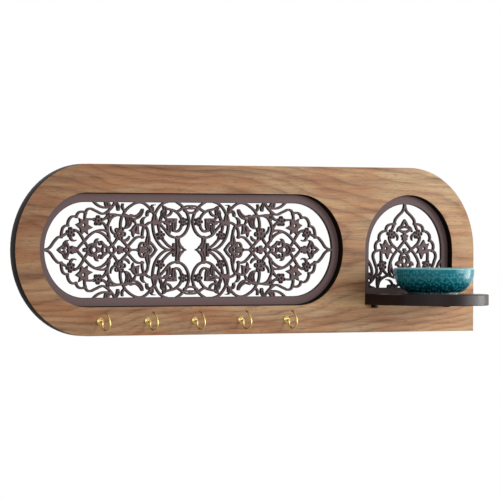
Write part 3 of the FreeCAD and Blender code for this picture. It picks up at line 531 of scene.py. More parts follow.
@dataclass(frozen=True)
class TurquoiseGlaze:
    """Glazed earthenware: deep turquoise with pale brushed dots and vines, and a thin rim.

    The glaze is glossy and darker towards the foot, which stays bare clay below.
    """

    deep: str = "01303D"
    clear: str = "026C78"
    paint: str = "36909C"
    rim: str = "8CC3C6"
    clay: str = "5E4C40"
    rim_mm: float = 1.6
    rim_fade_mm: float = 0.8
    bare_mm: float = 0.4
    darkening_top: float = 0.85
    paint_from: float = 0.45
    paint_full: float = 0.6
    dot_mm: float = 4.2
    dot_range: Span = (0.2, 0.34)
    dot_scatter: float = 0.75
    dot_share: float = 0.8
    vine_share: float = 0.75
    vine_width_mm: float = 1.1
    vine_swing_mm: float = 3.6
    vine_level: float = 0.56
    vine_turns: int = 14
    ripples: Grain = Grain(7.0, 7.0, 1.0)
    gloss: Gloss = Gloss(0.22, 1.52, 0.22, relief=0.3, relief_mm=0.25)

    def material(
        self, centre: Vector, radius: float, foot: float, height: float
    ) -> bpy.types.Material:
        """Builds the material.

        Args:
            centre: The bowl's middle, at the foot's level.
            radius: The rim's radius.
            foot: The foot's height.
            height: The bowl's height.

        Returns:
            The material.
        """
        material, shader = new_material("turquoise glazed earthenware")
        tree = material.node_tree
        place = add_node(tree, "TexCoord").outputs["Object"]
        local = add_node(
            tree, "VectorMath", {"operation": "SUBTRACT"}, {0: place, 1: centre})
        parts = add_node(tree, "SeparateXYZ", inputs={0: local})
        level = parts.outputs["Z"]
        # Deep colour at the foot, turning clear higher up
        share = add_node(
            tree, "MapRange", inputs={
                "Value": level, "From Min": foot, "From Max": self.darkening_top * height})
        darker_low = add_node(
            tree, "Mix", {"data_type": "RGBA"},
            {"Factor": share, 6: linear(self.deep), 7: linear(self.clear)})
        painted = add_node(
            tree, "Mix", {"data_type": "RGBA"}, {
                "Factor": self.painting(tree, parts, radius, height),
                6: darker_low.outputs[2], 7: linear(self.paint)})
        at_rim = add_node(
            tree, "MapRange", inputs={
                "Value": level, "From Min": height - self.rim_mm * MM,
                "From Max": height - self.rim_fade_mm * MM})
        rimmed = add_node(
            tree, "Mix", {"data_type": "RGBA"},
            {"Factor": at_rim, 6: painted.outputs[2], 7: linear(self.rim)})
        is_bare = add_node(
            tree, "Math", {"operation": "LESS_THAN"}, {0: level, 1: self.bare_mm * MM})
        colour = add_node(
            tree, "Mix", {"data_type": "RGBA"},
            {"Factor": is_bare, 6: rimmed.outputs[2], 7: linear(self.clay)})
        self.gloss.put_on(
            tree, shader, colour.outputs[2], self.ripples.value(tree, place))
        return material

    def painting(
        self, tree: bpy.types.NodeTree, parts: bpy.types.Node, radius: float, height: float
    ) -> bpy.types.NodeSocket:
        """The share of pale paint: two crossing vines with dots round them.

        The paint fades out towards the bowl's axis, where the dots would crowd.

        Args:
            tree: The material's tree.
            parts: The node with the place's parts from the bowl's middle at its foot.
            radius: The rim's radius.
            height: The bowl's height.

        Returns:
            The share, from 0 to 1.
        """
        angle = add_node(
            tree, "Math", {"operation": "ARCTAN2"},
            {0: parts.outputs["Y"], 1: parts.outputs["X"]})
        level = parts.outputs["Z"]
        around = add_node(
            tree, "Math", {"operation": "MULTIPLY"},
            {0: angle, 1: radius / (self.dot_mm * MM)})
        up = add_node(
            tree, "Math", {"operation": "DIVIDE"}, {0: level, 1: self.dot_mm * MM})
        unrolled = add_node(tree, "CombineXYZ", inputs={"X": around, "Y": up})
        dots = add_node(
            tree, "TexVoronoi", {"voronoi_dimensions": "2D"},
            {"Vector": unrolled, "Scale": 1.0, "Randomness": self.dot_scatter})
        share = add_node(
            tree, "MapRange", inputs={
                "Value": dots, "From Min": self.dot_range[0],
                "From Max": self.dot_range[1], "To Min": self.dot_share, "To Max": 0.0})
        for turn in (0.0, math.pi):
            phase = add_node(
                tree, "Math", {"operation": "MULTIPLY_ADD"},
                {0: angle, 1: float(self.vine_turns), 2: turn})
            swing = add_node(tree, "Math", {"operation": "SINE"}, {0: phase})
            middle = add_node(
                tree, "Math", {"operation": "MULTIPLY_ADD"},
                {0: swing, 1: self.vine_swing_mm * MM, 2: self.vine_level * height})
            off = add_node(tree, "Math", {"operation": "SUBTRACT"}, {0: level, 1: middle})
            size = add_node(tree, "Math", {"operation": "ABSOLUTE"}, {0: off})
            vine = add_node(
                tree, "MapRange", inputs={
                    "Value": size, "From Min": 0.25 * self.vine_width_mm * MM,
                    "From Max": 0.75 * self.vine_width_mm * MM, "To Min": self.vine_share,
                    "To Max": 0.0})
            share = add_node(tree, "Math", {"operation": "MAXIMUM"}, {0: share, 1: vine})
        flat = add_node(
            tree, "CombineXYZ", inputs={"X": parts.outputs["X"], "Y": parts.outputs["Y"]})
        reach = add_node(tree, "VectorMath", {"operation": "LENGTH"}, {0: flat})
        outer = add_node(
            tree, "MapRange", inputs={
                "Value": reach.outputs["Value"], "From Min": self.paint_from * radius,
                "From Max": self.paint_full * radius})
        return add_node(
            tree, "Math", {"operation": "MULTIPLY"}, {0: share, 1: outer}).outputs[0]


class Metal(Enum):
    """The metals of the fittings: name, colour and roughness."""

    BRASS = ("polished brass plate", "C6AE6C", 0.24)
    ZINC = ("zinc plated steel", "9A9C9B", 0.42)
    # The shelf pins: zinc plated steel, painted dark as the shade under the shelf
    DARK = ("steel darkened as painted shade", "332D2A", 0.5)


@dataclass(frozen=True)
class PlatedMetal:
    """Plated wire and sheet: a clean metal shine with faint wear in it."""

    metal: Metal
    wear: Grain = Grain(2.5, 2.5, 3.0)
    wear_down: float = 0.06
    wear_up: float = 0.08

    def material(self) -> bpy.types.Material:
        """Builds the material.

        Returns:
            The material.
        """
        name, colour, roughness = self.metal.value
        material, shader = new_material(name)
        tree = material.node_tree
        place = add_node(tree, "TexCoord").outputs["Object"]
        rough = add_node(
            tree, "MapRange", inputs={
                "Value": self.wear.value(tree, place), "To Min": roughness - self.wear_down,
                "To Max": roughness + self.wear_up})
        tree.links.new(rough.outputs[0], shader.inputs["Roughness"])
        shader.inputs["Base Color"].default_value = linear(colour)
        shader.inputs["Metallic"].default_value = 1.0
        return material


# Board


@dataclass
class Board:
    """The veneered board, with its arrises eased."""

    arris_mm: float = 0.6
    weld_mm: float = 0.001
    least_turn_deg: float = 50.0
    finish: WalnutVeneer = WalnutVeneer()

    def build(self, frame: dict[str, Any]) -> bpy.types.Object:
        """Eases the edges of the board's solid and dresses it.

        Args:
            frame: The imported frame.

        Returns:
            The board.
        """
        board = frame["nodes"]["board"]
        weld = board.modifiers.new("Joined corners", "WELD")
        weld.merge_threshold = self.weld_mm * MM
        ease = board.modifiers.new("Eased arris", "BEVEL")
        ease.width = self.arris_mm * MM
        ease.segments = 2
        ease.limit_method = "ANGLE"
        ease.angle_limit = math.radians(self.least_turn_deg)
        dress(board, self.finish.material())
        return board


# Frets


class Role(Enum):
    """What a flat piece of a fret's drawing does, the later ones before the earlier ones."""

    ORNAMENT = 1
    PIERCING = 2
    BORDER = 3
    SCREW_HOLE = 4


@dataclass(frozen=True)
class Flower:
    """A five-petalled flower: its middle, its radius and its turn, in drawing measure.

    The last sizes are shares of the radius.
    """

    reach: float
    lift: float
    radius: float
    turn_deg: float
    has_eyes: bool
    heart: float = 0.5
    petal: float = 0.37
    petal_reach: float = 0.63
    heart_eye: float = 0.17
    petal_eye: float = 0.16
    petal_eye_reach: float = 0.66

    def petals(self) -> list[tuple[Vector, float]]:
        """The rounds that make the flower.

        Returns:
            The middle and radius of each round.
        """
        middle = Vector((self.reach, self.lift))
        rounds = [(middle, self.heart * self.radius)]
        rounds += [(middle + way * self.petal_reach * self.radius, self.petal * self.radius)
                   for way in self.ways()]
        return rounds

    def eyes(self) -> list[tuple[Vector, float]]:
        """The round holes in the flower.

        Returns:
            The middle and radius of each hole.
        """
        if not self.has_eyes:
            return []
        middle = Vector((self.reach, self.lift))
        holes = [(middle, self.heart_eye * self.radius)]
        holes += [(middle + way * self.petal_eye_reach * self.radius,
                   self.petal_eye * self.radius)
                  for way in self.ways()]
        return holes

    def ways(self, petals: int = 5) -> list[Vector]:
        """The direction of each petal.

        Args:
            petals: How many petals there are.

        Returns:
            The directions, from the first petal's turn.
        """
        turns = [math.radians(self.turn_deg + 360 * number / petals)
                 for number in range(petals)]
        return [Vector((math.cos(turn), math.sin(turn))) for turn in turns]


@dataclass(frozen=True)
class Drawing:
    """One quarter of the ornament, each spot as its reach from the middle and its lift.

    Stems are lines of even width, leaves have a width at each spot, shapes and slits are
    outlines, and eyes are round holes with a radius. All are in millimetres.
    """

    stems: tuple[tuple[Spot, ...], ...]
    leaves: tuple[tuple[SizedSpot, ...], ...]
    shapes: tuple[tuple[Spot, ...], ...]
    slits: tuple[tuple[Spot, ...], ...]
    flowers: tuple[Flower, ...]
    eyes: tuple[SizedSpot, ...]
    line_width: float = 2.4


# The end of the ornament: its pointed tip, scallops, diamonds and the great loop
END_OF_DRAWING = Drawing(
    stems=(
        ((187, 0.3), (179, 1.6), (171, 10), (167, 13.2), (163, 13.6)),
        ((163.2, 13), (163, 18), (160.4, 24), (155, 25.6)),
        ((155.4, 25.2), (154.6, 30), (151.2, 34.2), (144.4, 34.6)),
        ((144.8, 34.2), (142.6, 38.4), (138.4, 40), (133, 38.4)),
        ((133.4, 37.6), (131.4, 42), (127.8, 43.2), (121.5, 41.2), (110, 38), (105.6, 40.4),
         (96, 50.8)),
        ((124.5, 51.8), (112, 44.6), (102, 45.4)),
        ((106.6, 51), (101.6, 45)),
        ((144.6, -0.2), (141.4, 3), (134.6, 9.4), (129.4, 14.4), (124, 18), (117, 20.3),
         (110, 20.6), (105.8, 18.8)),
        ((130.6, 3.4), (134.6, 9), (138, 14), (142.6, 19), (147.4, 21)),
        ((118.4, 18.9), (113.4, 17.6), (108.6, 14.8), (104, 10.2), (100, 5.2), (95.4, -0.2)),
        ((106.6, -0.2), (102.2, 3.2), (97.8, 6.6), (94, 11.4)),
        ((88, 36), (94.4, 36.4), (100.2, 34.2), (103.8, 29.4), (106, 22.4), (104.6, 16),
         (103.6, 12.4), (104.4, 9.6)),
        ((105.4, 36.6), (100, 37.4), (93, 36.6), (84, 35.8), (74, 36)),
        ((89.5, 23.4), (89.4, 29), (87.4, 35.4)),
        ((86.9, 47.8), (87.2, 44.8), (85, 41.6)),
        ((134.3, 30.6), (134.2, 34.6), (133.6, 38.4)),
        ((134, 32), (127, 32.1), (119.6, 31.6)),
        ((116, 31.6), (110, 32.3), (106.4, 35.4), (104.9, 40.4)),
        ((114.6, 29.6), (110.4, 27.4), (107, 22.4)),
        ((157, 17), (162.6, 14.2)),
        ((131.4, -0.2), (128, 4.8), (123.4, 6.2), (120.4, 5.4)),
        ((126.8, -0.2), (124.6, 3), (121, 3.4), (118.4, 1)),
        ((113.4, 8.6), (110.8, 5.8), (107, 3.2), (104.6, -0.2)),
        ((112, -0.2), (110.4, 3.4), (107.4, 3)),
        ((155, -0.2), (151.4, 0.2)),
        ((97.4, -0.2), (94, 0.2)),
    ),
    leaves=(
        ((168.4, -0.2, 0.8), (165.2, 1.4, 2.6), (162, 3.4, 2.4), (159.4, 4.8, 3)),
        ((159.8, 1.6, 3), (159.4, 5.6, 3.8), (157.6, 8.6, 2.6), (154, 10.3, 0.6)),
        ((153, -0.2, 2.4), (154.8, 3.4, 2.6), (156.4, 6.8, 2.4), (157.8, 8.4, 2)),
        ((151.8, 14.6, 3), (151.2, 11.4, 2.6), (148.6, 9.6, 2), (144.8, 10.5, 0.6)),
        ((120.8, 3.4, 2.4), (121, 7.6, 3), (119.4, 10.6, 2.4), (117, 11.8, 0.8)),
        ((119.6, 8.6, 2), (116.6, 7.8, 2.6), (115.6, 5.2, 1.6)),
        ((114.2, 9.3, 1), (112.8, 7.4, 2.8), (110.8, 4.8, 2.4)),
        ((107.4, 51, 5), (107.3, 48, 4.8), (106.4, 44.8, 3)),
        ((97, 50.6, 3), (94.2, 48.2, 3.4), (92.7, 45.2, 4.2), (92.6, 42.6, 3.4)),
        ((105.6, 40, 2.4), (104.8, 36.4, 4.2), (104, 32, 2.6)),
        ((95, 16, 2), (100.6, 19.8, 2), (101.7, 25, 0.8)),
    ),
    shapes=(
        ((145.8, 26.4), (140.4, 29), (141.8, 33.6), (136.6, 31.2), (130.2, 32.2),
         (130.4, 26.4), (124.2, 23.3), (131, 20.8), (130.4, 16.2), (135, 19.2), (138.8, 15.4),
         (140, 22)),
    ),
    slits=(),
    flowers=(
        Flower(148.9, 0, 4.7, 0, False),
        Flower(134.2, 0, 2.5, 36, False),
        Flower(151.6, 18.4, 5.8, 80, True),
        Flower(117.8, 30.6, 5.9, 90, True),
        Flower(116.6, 0, 3.3, 0, False),
        Flower(90.3, 17.3, 7.5, -28, True),
        Flower(90.3, 0, 4.9, 0, False),
    ),
    eyes=((136, 26, 1.7),),
)

# The middle of the ornament: lattice, bows and scrolls
MIDDLE_OF_DRAWING = Drawing(
    stems=(
        ((86.4, 36), (83.6, 40.8), (76.8, 46.3), (69, 49.6), (61, 49.4), (54.4, 45.6),
         (49.4, 40.6), (46.2, 36.6)),
        ((76.4, -0.2), (80.2, 3.2), (84.2, 7), (88.6, 11)),
        ((84.6, -0.2), (80.4, 3.4), (74.4, 9.2), (69.6, 12.9), (61, 13.4)),
        ((61.9, 12.8), (61.8, 18.6), (59, 25.6)),
        ((79, 0), (69, 0)),
        ((70.4, 26), (66.4, 26.7), (59.6, 25.4), (53.6, 28.4), (47, 29.6), (40, 29.4),
         (33.4, 29.4), (30, 26.6)),
        ((58.4, 25.6), (55.2, 20.6), (54.4, 15), (54.8, 10)),
        ((65.4, 1.6), (65, 5), (61.8, 7.6), (58.6, 6)),
        ((52.6, 8.4), (48.4, 4.8), (44.4, -0.3)),
        ((59.6, 4.8), (55.8, 3.4), (52.8, 3), (50.6, -0.3)),
        ((57.8, 0), (50.6, 0)),
        ((54.6, 0.6), (54.6, 4.6)),
        ((48.7, 30), (48.2, 22), (45.4, 13.2), (40.6, 6.6), (34.4, 1.9), (26, 0)),
        ((41.8, 29), (40.8, 22), (39, 17)),
        ((37, 12), (33.2, 8.4), (28, 4.1), (21, 1.4)),
        ((46.4, 36.4), (42.6, 43), (36.6, 48.6), (30, 50.8)),
        ((18, 50.4), (10.4, 45.6), (4.4, 38), (2.3, 30), (4.6, 21.8), (10.6, 15.2),
         (18.6, 12.9), (26.4, 15), (33.4, 21.6), (41.6, 29.2)),
        ((35, 44.4), (28.4, 43.1), (20.6, 41.2), (14.6, 37), (11.6, 32)),
        ((18, 40.6), (14.4, 42), (10.2, 45)),
        ((12, 26), (14, 21.6), (18.4, 19.4), (22, 22), (23.6, 27)),
        ((24.4, 42), (26.4, 38), (31.6, 36)),
        ((8.2, 41.8), (4, 39.7), (-0.2, 39.2)),
    ),
    leaves=(
        ((79, 35.4, 2.6), (70, 34.4, 5), (65.4, 36.8, 4.6), (62.6, 40.4, 3.8), (62, 42, 3.2)),
        ((82.6, 36, 4), (80.8, 30.6, 3.8), (81, 26.6, 3.6), (84.2, 22.6, 1.6)),
        ((76.2, 36, 3.6), (77, 29.8, 3.8), (79, 25.8, 3.8), (82.6, 23.2, 2.4)),
        ((72.6, 34.6, 3.2), (72.2, 30.6, 2.8), (70.8, 28.2, 1.8)),
        ((86.6, 10.2, 2.4), (82, 10.2, 3), (79.6, 12, 2.6), (78.3, 14.8, 0.6)),
        ((61, 26, 3), (62.3, 30, 3.8), (60.6, 33.2, 2.4), (57.4, 34.9, 0.5)),
        ((51, 40.6, 3), (54.6, 40.4, 3.4), (56, 36.6, 3)),
        ((49.6, 40.4, 3), (49.4, 44, 3.6), (50, 46, 2), (45, 47.4, 0.5)),
        ((46.4, 39, 2), (46.3, 34.6, 5.2), (46.2, 29.6, 8)),
        ((54.4, 18, 1.6), (54.5, 12, 4.8), (55, 7.4, 6), (54.8, 4.4, 3)),
        ((66.8, -0.2, 4), (63.6, 1.6, 2.6), (60.2, 1.4, 2.6)),
        ((21.8, -0.2, 4), (21.8, 3, 3), (21.8, 6, 2.8)),
        ((16.8, 12.6, 5), (16.7, 8, 4.8), (15.6, 4, 6.6), (14, 0, 10)),
        ((14, 0, 5), (10, 0, 4.4), (5.8, 0, 0.6)),
        ((32.4, 28.6, 4), (27.4, 30.4, 6.4), (19.2, 32.2, 2.4)),
        ((28.6, 17, 3), (27.8, 21, 5.4), (27.4, 25, 6.6), (28, 29, 6)),
        ((22, 20.4, 3), (21.4, 25, 5.4), (20.8, 31, 4.6)),
        ((36.2, 46.6, 1), (33.6, 44.2, 4.2), (33, 40, 3.4), (33.6, 36.6, 3.2), (30.6, 32, 2)),
        ((33, 42, 2.6), (36.6, 40.4, 3), (37, 36.4, 3), (38.6, 33, 3.2), (39.4, 29.6, 2.6)),
        ((9.4, 44.2, 2.6), (5.4, 45, 4.6), (-0.3, 45.2, 5)),
    ),
    shapes=(
        ((70.6, 27), (73.4, 25), (75.6, 22), (78.6, 20.4), (75.4, 18.8), (75.2, 16),
         (73.4, 13.2), (72.2, 17.2), (69.6, 17.2), (65.8, 16.2), (66.6, 21), (66.8, 27)),
    ),
    slits=(
        ((70.8, 24.4), (71.6, 21), (71.2, 18.8), (70, 21), (69.8, 24.4)),
        ((28, 27.4), (24.4, 28.4), (24.2, 25.6), (25.4, 21), (25.2, 25.8)),
    ),
    flowers=(
        Flower(61.6, 0, 3.8, 0, False),
        Flower(38.7, 15.2, 5.3, 20, True),
        Flower(9.8, 29.8, 5.2, 0, True),
    ),
    eyes=((80.3, 0, 0.9), (67.2, 0, 1.1), (54, 0, 1), (22.2, 0, 1.1), (12.1, 0, 1.7)),
)

WHOLE_DRAWING = Drawing(
    *(getattr(END_OF_DRAWING, part) + getattr(MIDDLE_OF_DRAWING, part)
      for part in ("stems", "leaves", "shapes", "slits", "flowers", "eyes"))
)


def flat_area(corners: list[Vector]) -> float:
    """The area of a flat face, above 0 when its corners run counter-clockwise."""
    return sum(a.cross(b) for a, b in zip(corners, [*corners[1:], corners[0]])) / 2


@dataclass
class FlatPieces:
    """The flat pieces of one fret, gathered as small convex faces with their roles."""

    corners: list[Vector] = field(default_factory=list)
    faces: list[list[int]] = field(default_factory=list)
    roles: list[Role] = field(default_factory=list)
    steps: int = 5
    first_step: float = 0.4
    least_area: float = 1e-6
    round_from: float = 1.2
    vein_from: float = 3.0
    vein_width: float = 0.55

    def add_face(self, corners: list[Vector], role: Role) -> None:
        """Adds one face, turned counter-clockwise; a face with no area is left out.

        Args:
            corners: The face's corners.
            role: What the face does.
        """
        area = flat_area(corners)
        if abs(area) < self.least_area:
            return
        if area < 0:
            corners = corners[::-1]
        first = len(self.corners)
        self.corners += corners
        self.faces.append(list(range(first, first + len(corners))))
        self.roles.append(role)

    def add_strip(self, left: list[Vector], right: list[Vector], role: Role) -> None:
        """Fills the strip between two lines with as many spots.

        Args:
            left: The spots of the first line.
            right: The spots of the second line.
            role: What the strip does.
        """
        for number in range(len(left) - 1):
            self.add_face([left[number], right[number], left[number + 1]], role)
            self.add_face([right[number], right[number + 1], left[number + 1]], role)

    def add_round(self, middle: Vector, radius: float, role: Role, count: int = 20) -> None:
        """Adds a round face, with no corner straight beside or above its middle.

        Args:
            middle: The round's middle.
            radius: Its radius.
            role: What the round does.
            count: How many corners it has.
        """
        turns = [2 * math.pi * (number + self.first_step) / count
                 for number in range(count)]
        self.add_face([middle + radius * Vector((math.cos(turn), math.sin(turn)))
                       for turn in turns], role)

    def add_band(self, spots: list[Vector], widths: list[float]) -> None:
        """Adds a smooth line with a width at each spot and rounded ends.

        Args:
            spots: The spots that the line goes through.
            widths: The width at each spot.
        """
        line, sizes = self.smooth_line(spots, widths)
        self.add_line(line, sizes, Role.ORNAMENT)
        for end in (0, -1):
            if sizes[end] > self.round_from:
                self.add_round(line[end], sizes[end] / 2, Role.ORNAMENT, 14)

    def add_vein(self, spots: list[Vector], widths: list[float]) -> None:
        """Cuts a fine slit along the middle of a leaf, where the leaf is wide.

        Args:
            spots: The spots that the leaf's middle line goes through.
            widths: The leaf's width at each spot.
        """
        line, sizes = self.smooth_line(spots, widths)
        wide = [spot for spot, size in list(zip(line, sizes))[2:-2] if size > self.vein_from]
        if len(wide) > 3:
            self.add_line(wide, [self.vein_width] * len(wide), Role.PIERCING)

    def add_line(self, line: list[Vector], sizes: list[float], role: Role) -> None:
        """Adds a strip along a line, with a width at each spot.

        Args:
            line: The line's spots.
            sizes: The width at each spot.
            role: What the strip does.
        """
        left, right = [], []
        for number, here in enumerate(line):
            way = line[min(number + 1, len(line) - 1)] - line[max(number - 1, 0)]
            aside = Vector((-way.y, way.x)).normalized() * sizes[number] / 2
            left.append(here + aside)
            right.append(here - aside)
        self.add_strip(left, right, role)

    def smooth_line(
        self, spots: list[Vector], widths: list[float]
    ) -> tuple[list[Vector], list[float]]:
        """Spots along the smooth line through the given ones, and the width at each.

        Args:
            spots: The spots that the line goes through.
            widths: The width at each spot.

        Returns:
            The line's spots and their widths.
        """
        ways = self.headings(spots)
        line, sizes = [spots[0]], [widths[0]]
        for number in range(len(spots) - 1):
            start, end = spots[number], spots[number + 1]
            third = (end - start).length / 3
            arc = interpolate_bezier(
                start, start + ways[number] * third, end - ways[number + 1] * third, end,
                self.steps + 1)
            for step in range(1, self.steps + 1):
                share = step / self.steps
                line.append(Vector(arc[step][:2]))
                sizes.append(widths[number] * (1 - share) + widths[number + 1] * share)
        return line, sizes

    @staticmethod
    def headings(spots: list[Vector]) -> list[Vector]:
        """The direction of a smooth line at each of its spots.

        Args:
            spots: The spots that the line goes through.

        Returns:
            The direction at each spot.
        """
        legs = [b - a for a, b in zip(spots, spots[1:])]
        ways = []
        for before, after in zip(legs, legs[1:]):
            ways.append((before.normalized() * after.length
                         + after.normalized() * before.length).normalized())
        if not ways:
            return [legs[0].normalized()] * 2
        first = (2 * legs[0].normalized() - ways[0]).normalized()
        last = (2 * legs[-1].normalized() - ways[-1]).normalized()
        return [first, *ways, last]


def redrawn(
    spots: list[Vector], faces: list[list[int]], least_mm: float = 0.02,
    join_mm: float = 1e-6,
) -> tuple[list[Vector], list[list[int]], list[tuple[int, int]]]:
    """Fills a flat sheet again from its rims alone, with few and well shaped triangles.

    Args:
        spots: The sheet's corners.
        faces: Its faces, counter-clockwise.
        least_mm: A rim corner this close to the line past it is left out.
        join_mm: Corners this close to each other become one.

    Returns:
        The corners, the faces and the rims, each rim with the sheet on its left.
    """
    ahead = {pair for face in faces for pair in sides(face)}
    rims = [pair for pair in ahead if pair[::-1] not in ahead]
    after, before = dict(rims), {b: a for a, b in rims}
    forks = {number for number, times in Counter(a for a, _ in rims).items() if times > 1}
    for here in sorted(set(after) - forks):
        last, past = before[here], after[here]
        line = spots[past] - spots[last]
        straight = line.length and abs(line.cross(spots[here] - spots[last])) / line.length
        if straight < least_mm and not {last, past} & forks and after.get(past) != last:
            after[last], before[past] = past, last
            del after[here], before[here]
    rims = [(a, b) for a, b in rims if a in forks or b in forks]
    rims += [(a, b) for a, b in after.items() if a not in forks and b not in forks]
    used = sorted({number for pair in rims for number in pair})
    place = {old: new for new, old in enumerate(used)}
    rims = [(place[a], place[b]) for a, b in rims]
    spots, _, faces, origins, _, _ = delaunay_2d_cdt(
        [spots[number] for number in used], rims, [], 0, join_mm)
    place = {old: new for new, olds in enumerate(origins) for old in olds}
    rims = {(place[a], place[b]) for a, b in rims}
    owner = {pair: number for number, face in enumerate(faces) for pair in sides(face)}
    waiting = [owner[pair] for pair in rims if pair in owner]
    kept = set(waiting)
    while waiting:
        for pair in sides(faces[waiting.pop()]):
            beside = owner.get(pair[::-1])
            if pair not in rims and beside is not None and beside not in kept:
                kept.add(beside)
                waiting.append(beside)
    return spots, [list(faces[number]) for number in sorted(kept)], sorted(rims)


def sides(face: list[int]) -> list[tuple[int, int]]:
    """The sides of a face as pairs of corners."""
    return list(zip(face, [*face[1:], face[0]]))


@dataclass
class Fret:
    """The long window's laser-cut fret, drawn in one quarter and mirrored both ways.

    The panel reaches past the window's wall all round. The window's middle, its radius and
    half the length of its straight sides come from the panel's box.
    """

    node: str = "fret_panel"
    name: str = "long"
    drawing: Drawing = WHOLE_DRAWING
    grown_mm: float = 5.7
    border_mm: float = 10.0
    tip_reach_mm: float = 185.0
    arc_steps: int = 48
    join_mm: float = 1e-5
    leak_share: float = 1.1
    leak_room: float = 0.01
    sharp_deg: float = 35.0
    finish: LaserCutBoard = LaserCutBoard()
    middle_x_mm: float = field(init=False)
    radius_mm: float = field(init=False)
    straight_mm: float = field(init=False)

    def __post_init__(self) -> None:
        """Takes the window's sizes from the panel's box, to the hundredth."""
        low, high = (Vector(corner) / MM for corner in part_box(self.node))
        self.middle_x_mm = round((low.x + high.x) / 2, 2)
        self.radius_mm = round((high.z - low.z) / 2 - self.grown_mm, 2)
        self.straight_mm = round((high.x - low.x) / 2 - self.grown_mm - self.radius_mm, 2)

    def build(self, frame: dict[str, Any]) -> bpy.types.Object:
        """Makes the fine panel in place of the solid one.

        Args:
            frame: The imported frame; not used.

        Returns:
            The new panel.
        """
        low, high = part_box(self.node)
        pieces = FlatPieces()
        rim, opening = self.outlines()
        pieces.add_strip(rim + rim[:1], opening + opening[:1], Role.BORDER)
        self.add_ornament(pieces)
        self.add_screw_holes(pieces)
        mesh = self.cut_sheet(pieces, low[1], high[1])
        panel = bpy.data.objects.new(self.node + "_fine", mesh)
        bpy.context.collection.objects.link(panel)
        low, high = self.middle_line()
        dress(panel, self.finish.material(self.name, low, high, self.radius_mm * MM))
        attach(panel, "root")
        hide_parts(self.node)
        return panel

    def outlines(self) -> tuple[list[Vector], list[Vector]]:
        """The panel's own outline and its opening's, with as many spots.

        Returns:
            The spots of both outlines.
        """
        found = []
        for grown in (self.grown_mm, -self.border_mm):
            radius = self.radius_mm + grown
            spots = []
            for side, first in ((1, -90), (-1, 90)):
                for step in range(self.arc_steps + 1):
                    turn = math.radians(first + 180 * step / self.arc_steps)
                    spots.append(Vector((side * self.straight_mm + radius * math.cos(turn),
                                         radius * math.sin(turn))))
            found.append(spots)
        return found[0], found[1]

    def middle_line(self) -> tuple[Vector, Vector]:
        """The line that the window's outline runs round.

        Returns:
            Its low and high end, in metres.
        """
        return (Vector(((self.middle_x_mm - self.straight_mm) * MM, 0, 0)),
                Vector(((self.middle_x_mm + self.straight_mm) * MM, 0, 0)))

    def places(self, spot: Vector) -> list[Vector]:
        """Where a spot of the drawing comes in this panel, about its middle.

        Args:
            spot: The spot, as its reach from the drawing's middle and its lift.

        Returns:
            The spot's place and its mirrored ones.
        """
        return [Vector((side * spot.x, end * spot.y)) for side in (-1, 1) for end in (-1, 1)]

    def add_ornament(self, pieces: FlatPieces) -> None:
        """Draws the ornament once and adds its mirrored copies.

        Args:
            pieces: The flat pieces to add to.
        """
        drawn = FlatPieces()
        drawing = self.drawing
        for stem in drawing.stems:
            spots = [Vector(spot) for spot in stem]
            drawn.add_band(spots, [drawing.line_width] * len(spots))
        for leaf in drawing.leaves:
            spots, widths = [Vector(spot[:2]) for spot in leaf], [spot[2] for spot in leaf]
            drawn.add_band(spots, widths)
            drawn.add_vein(spots, widths)
        for shape in drawing.shapes:
            drawn.add_face([Vector(spot) for spot in shape], Role.ORNAMENT)
        for slit in drawing.slits:
            drawn.add_face([Vector(spot) for spot in slit], Role.PIERCING)
        for flower in drawing.flowers:
            for middle, radius in flower.petals():
                drawn.add_round(middle, radius, Role.ORNAMENT)
            for middle, radius in flower.eyes():
                drawn.add_round(middle, radius, Role.PIERCING, 12)
        for reach, lift, radius in drawing.eyes:
            drawn.add_round(Vector((reach, lift)), radius, Role.PIERCING)
        for face, role in zip(drawn.faces, drawn.roles):
            placed = [self.places(drawn.corners[number]) for number in face]
            for copy in zip(*placed):
                pieces.add_face(list(copy), role)

    def add_screw_holes(self, pieces: FlatPieces) -> None:
        """Adds the holes for the shelf's screws; the long panel has none."""

    def cut_sheet(self, pieces: FlatPieces, front: float, back: float) -> bpy.types.Mesh:
        """Joins the flat pieces into one sheet and gives it its thickness.

        Args:
            pieces: The flat pieces, in millimetres about the panel's middle.
            front: The front face's y.
            back: The back face's y.

        Returns:
            The panel's mesh.
        """
        spots, _, faces, _, _, owners = delaunay_2d_cdt(
            pieces.corners, [], pieces.faces, 1, self.join_mm)
        # A piece that owns more than its own area has leaked and is left out
        spans = [0.0] * len(pieces.faces)
        for face, own in zip(faces, owners):
            span = flat_area([spots[number] for number in face])
            for number in own:
                spans[number] += span
        sound = [
            span < self.leak_room + self.leak_share * flat_area(
                [pieces.corners[number] for number in face])
            for span, face in zip(spans, pieces.faces)]
        kept = [face for face, own in zip(faces, owners)
                if self.is_solid({pieces.roles[number] for number in own if sound[number]})]
        # The many small faces give way to few that reach from rim to rim
        spots, kept, rims = redrawn(spots, kept)
        corners = [((self.middle_x_mm + spot.x) * MM, y, spot.y * MM)
                   for y in (front, back) for spot in spots]
        count = len(spots)
        skins = kept + [[number + count for number in reversed(face)] for face in kept]
        skins += [[b, a, a + count, b + count] for a, b in rims]
        mesh = bpy.data.meshes.new(self.node + " sheet")
        mesh.from_pydata(corners, [], skins)
        mesh.shade_smooth()
        mesh.set_sharp_from_angle(angle=math.radians(self.sharp_deg))
        return mesh

    @staticmethod
    def is_solid(roles: set[Role]) -> bool:
        """Whether the sheet stays where flat pieces of these roles lie on each other.

        Args:
            roles: What the pieces there do.

        Returns:
            True where the sheet stays.
        """
        if Role.SCREW_HOLE in roles:
            return False
        return Role.BORDER in roles or roles == {Role.ORNAMENT}


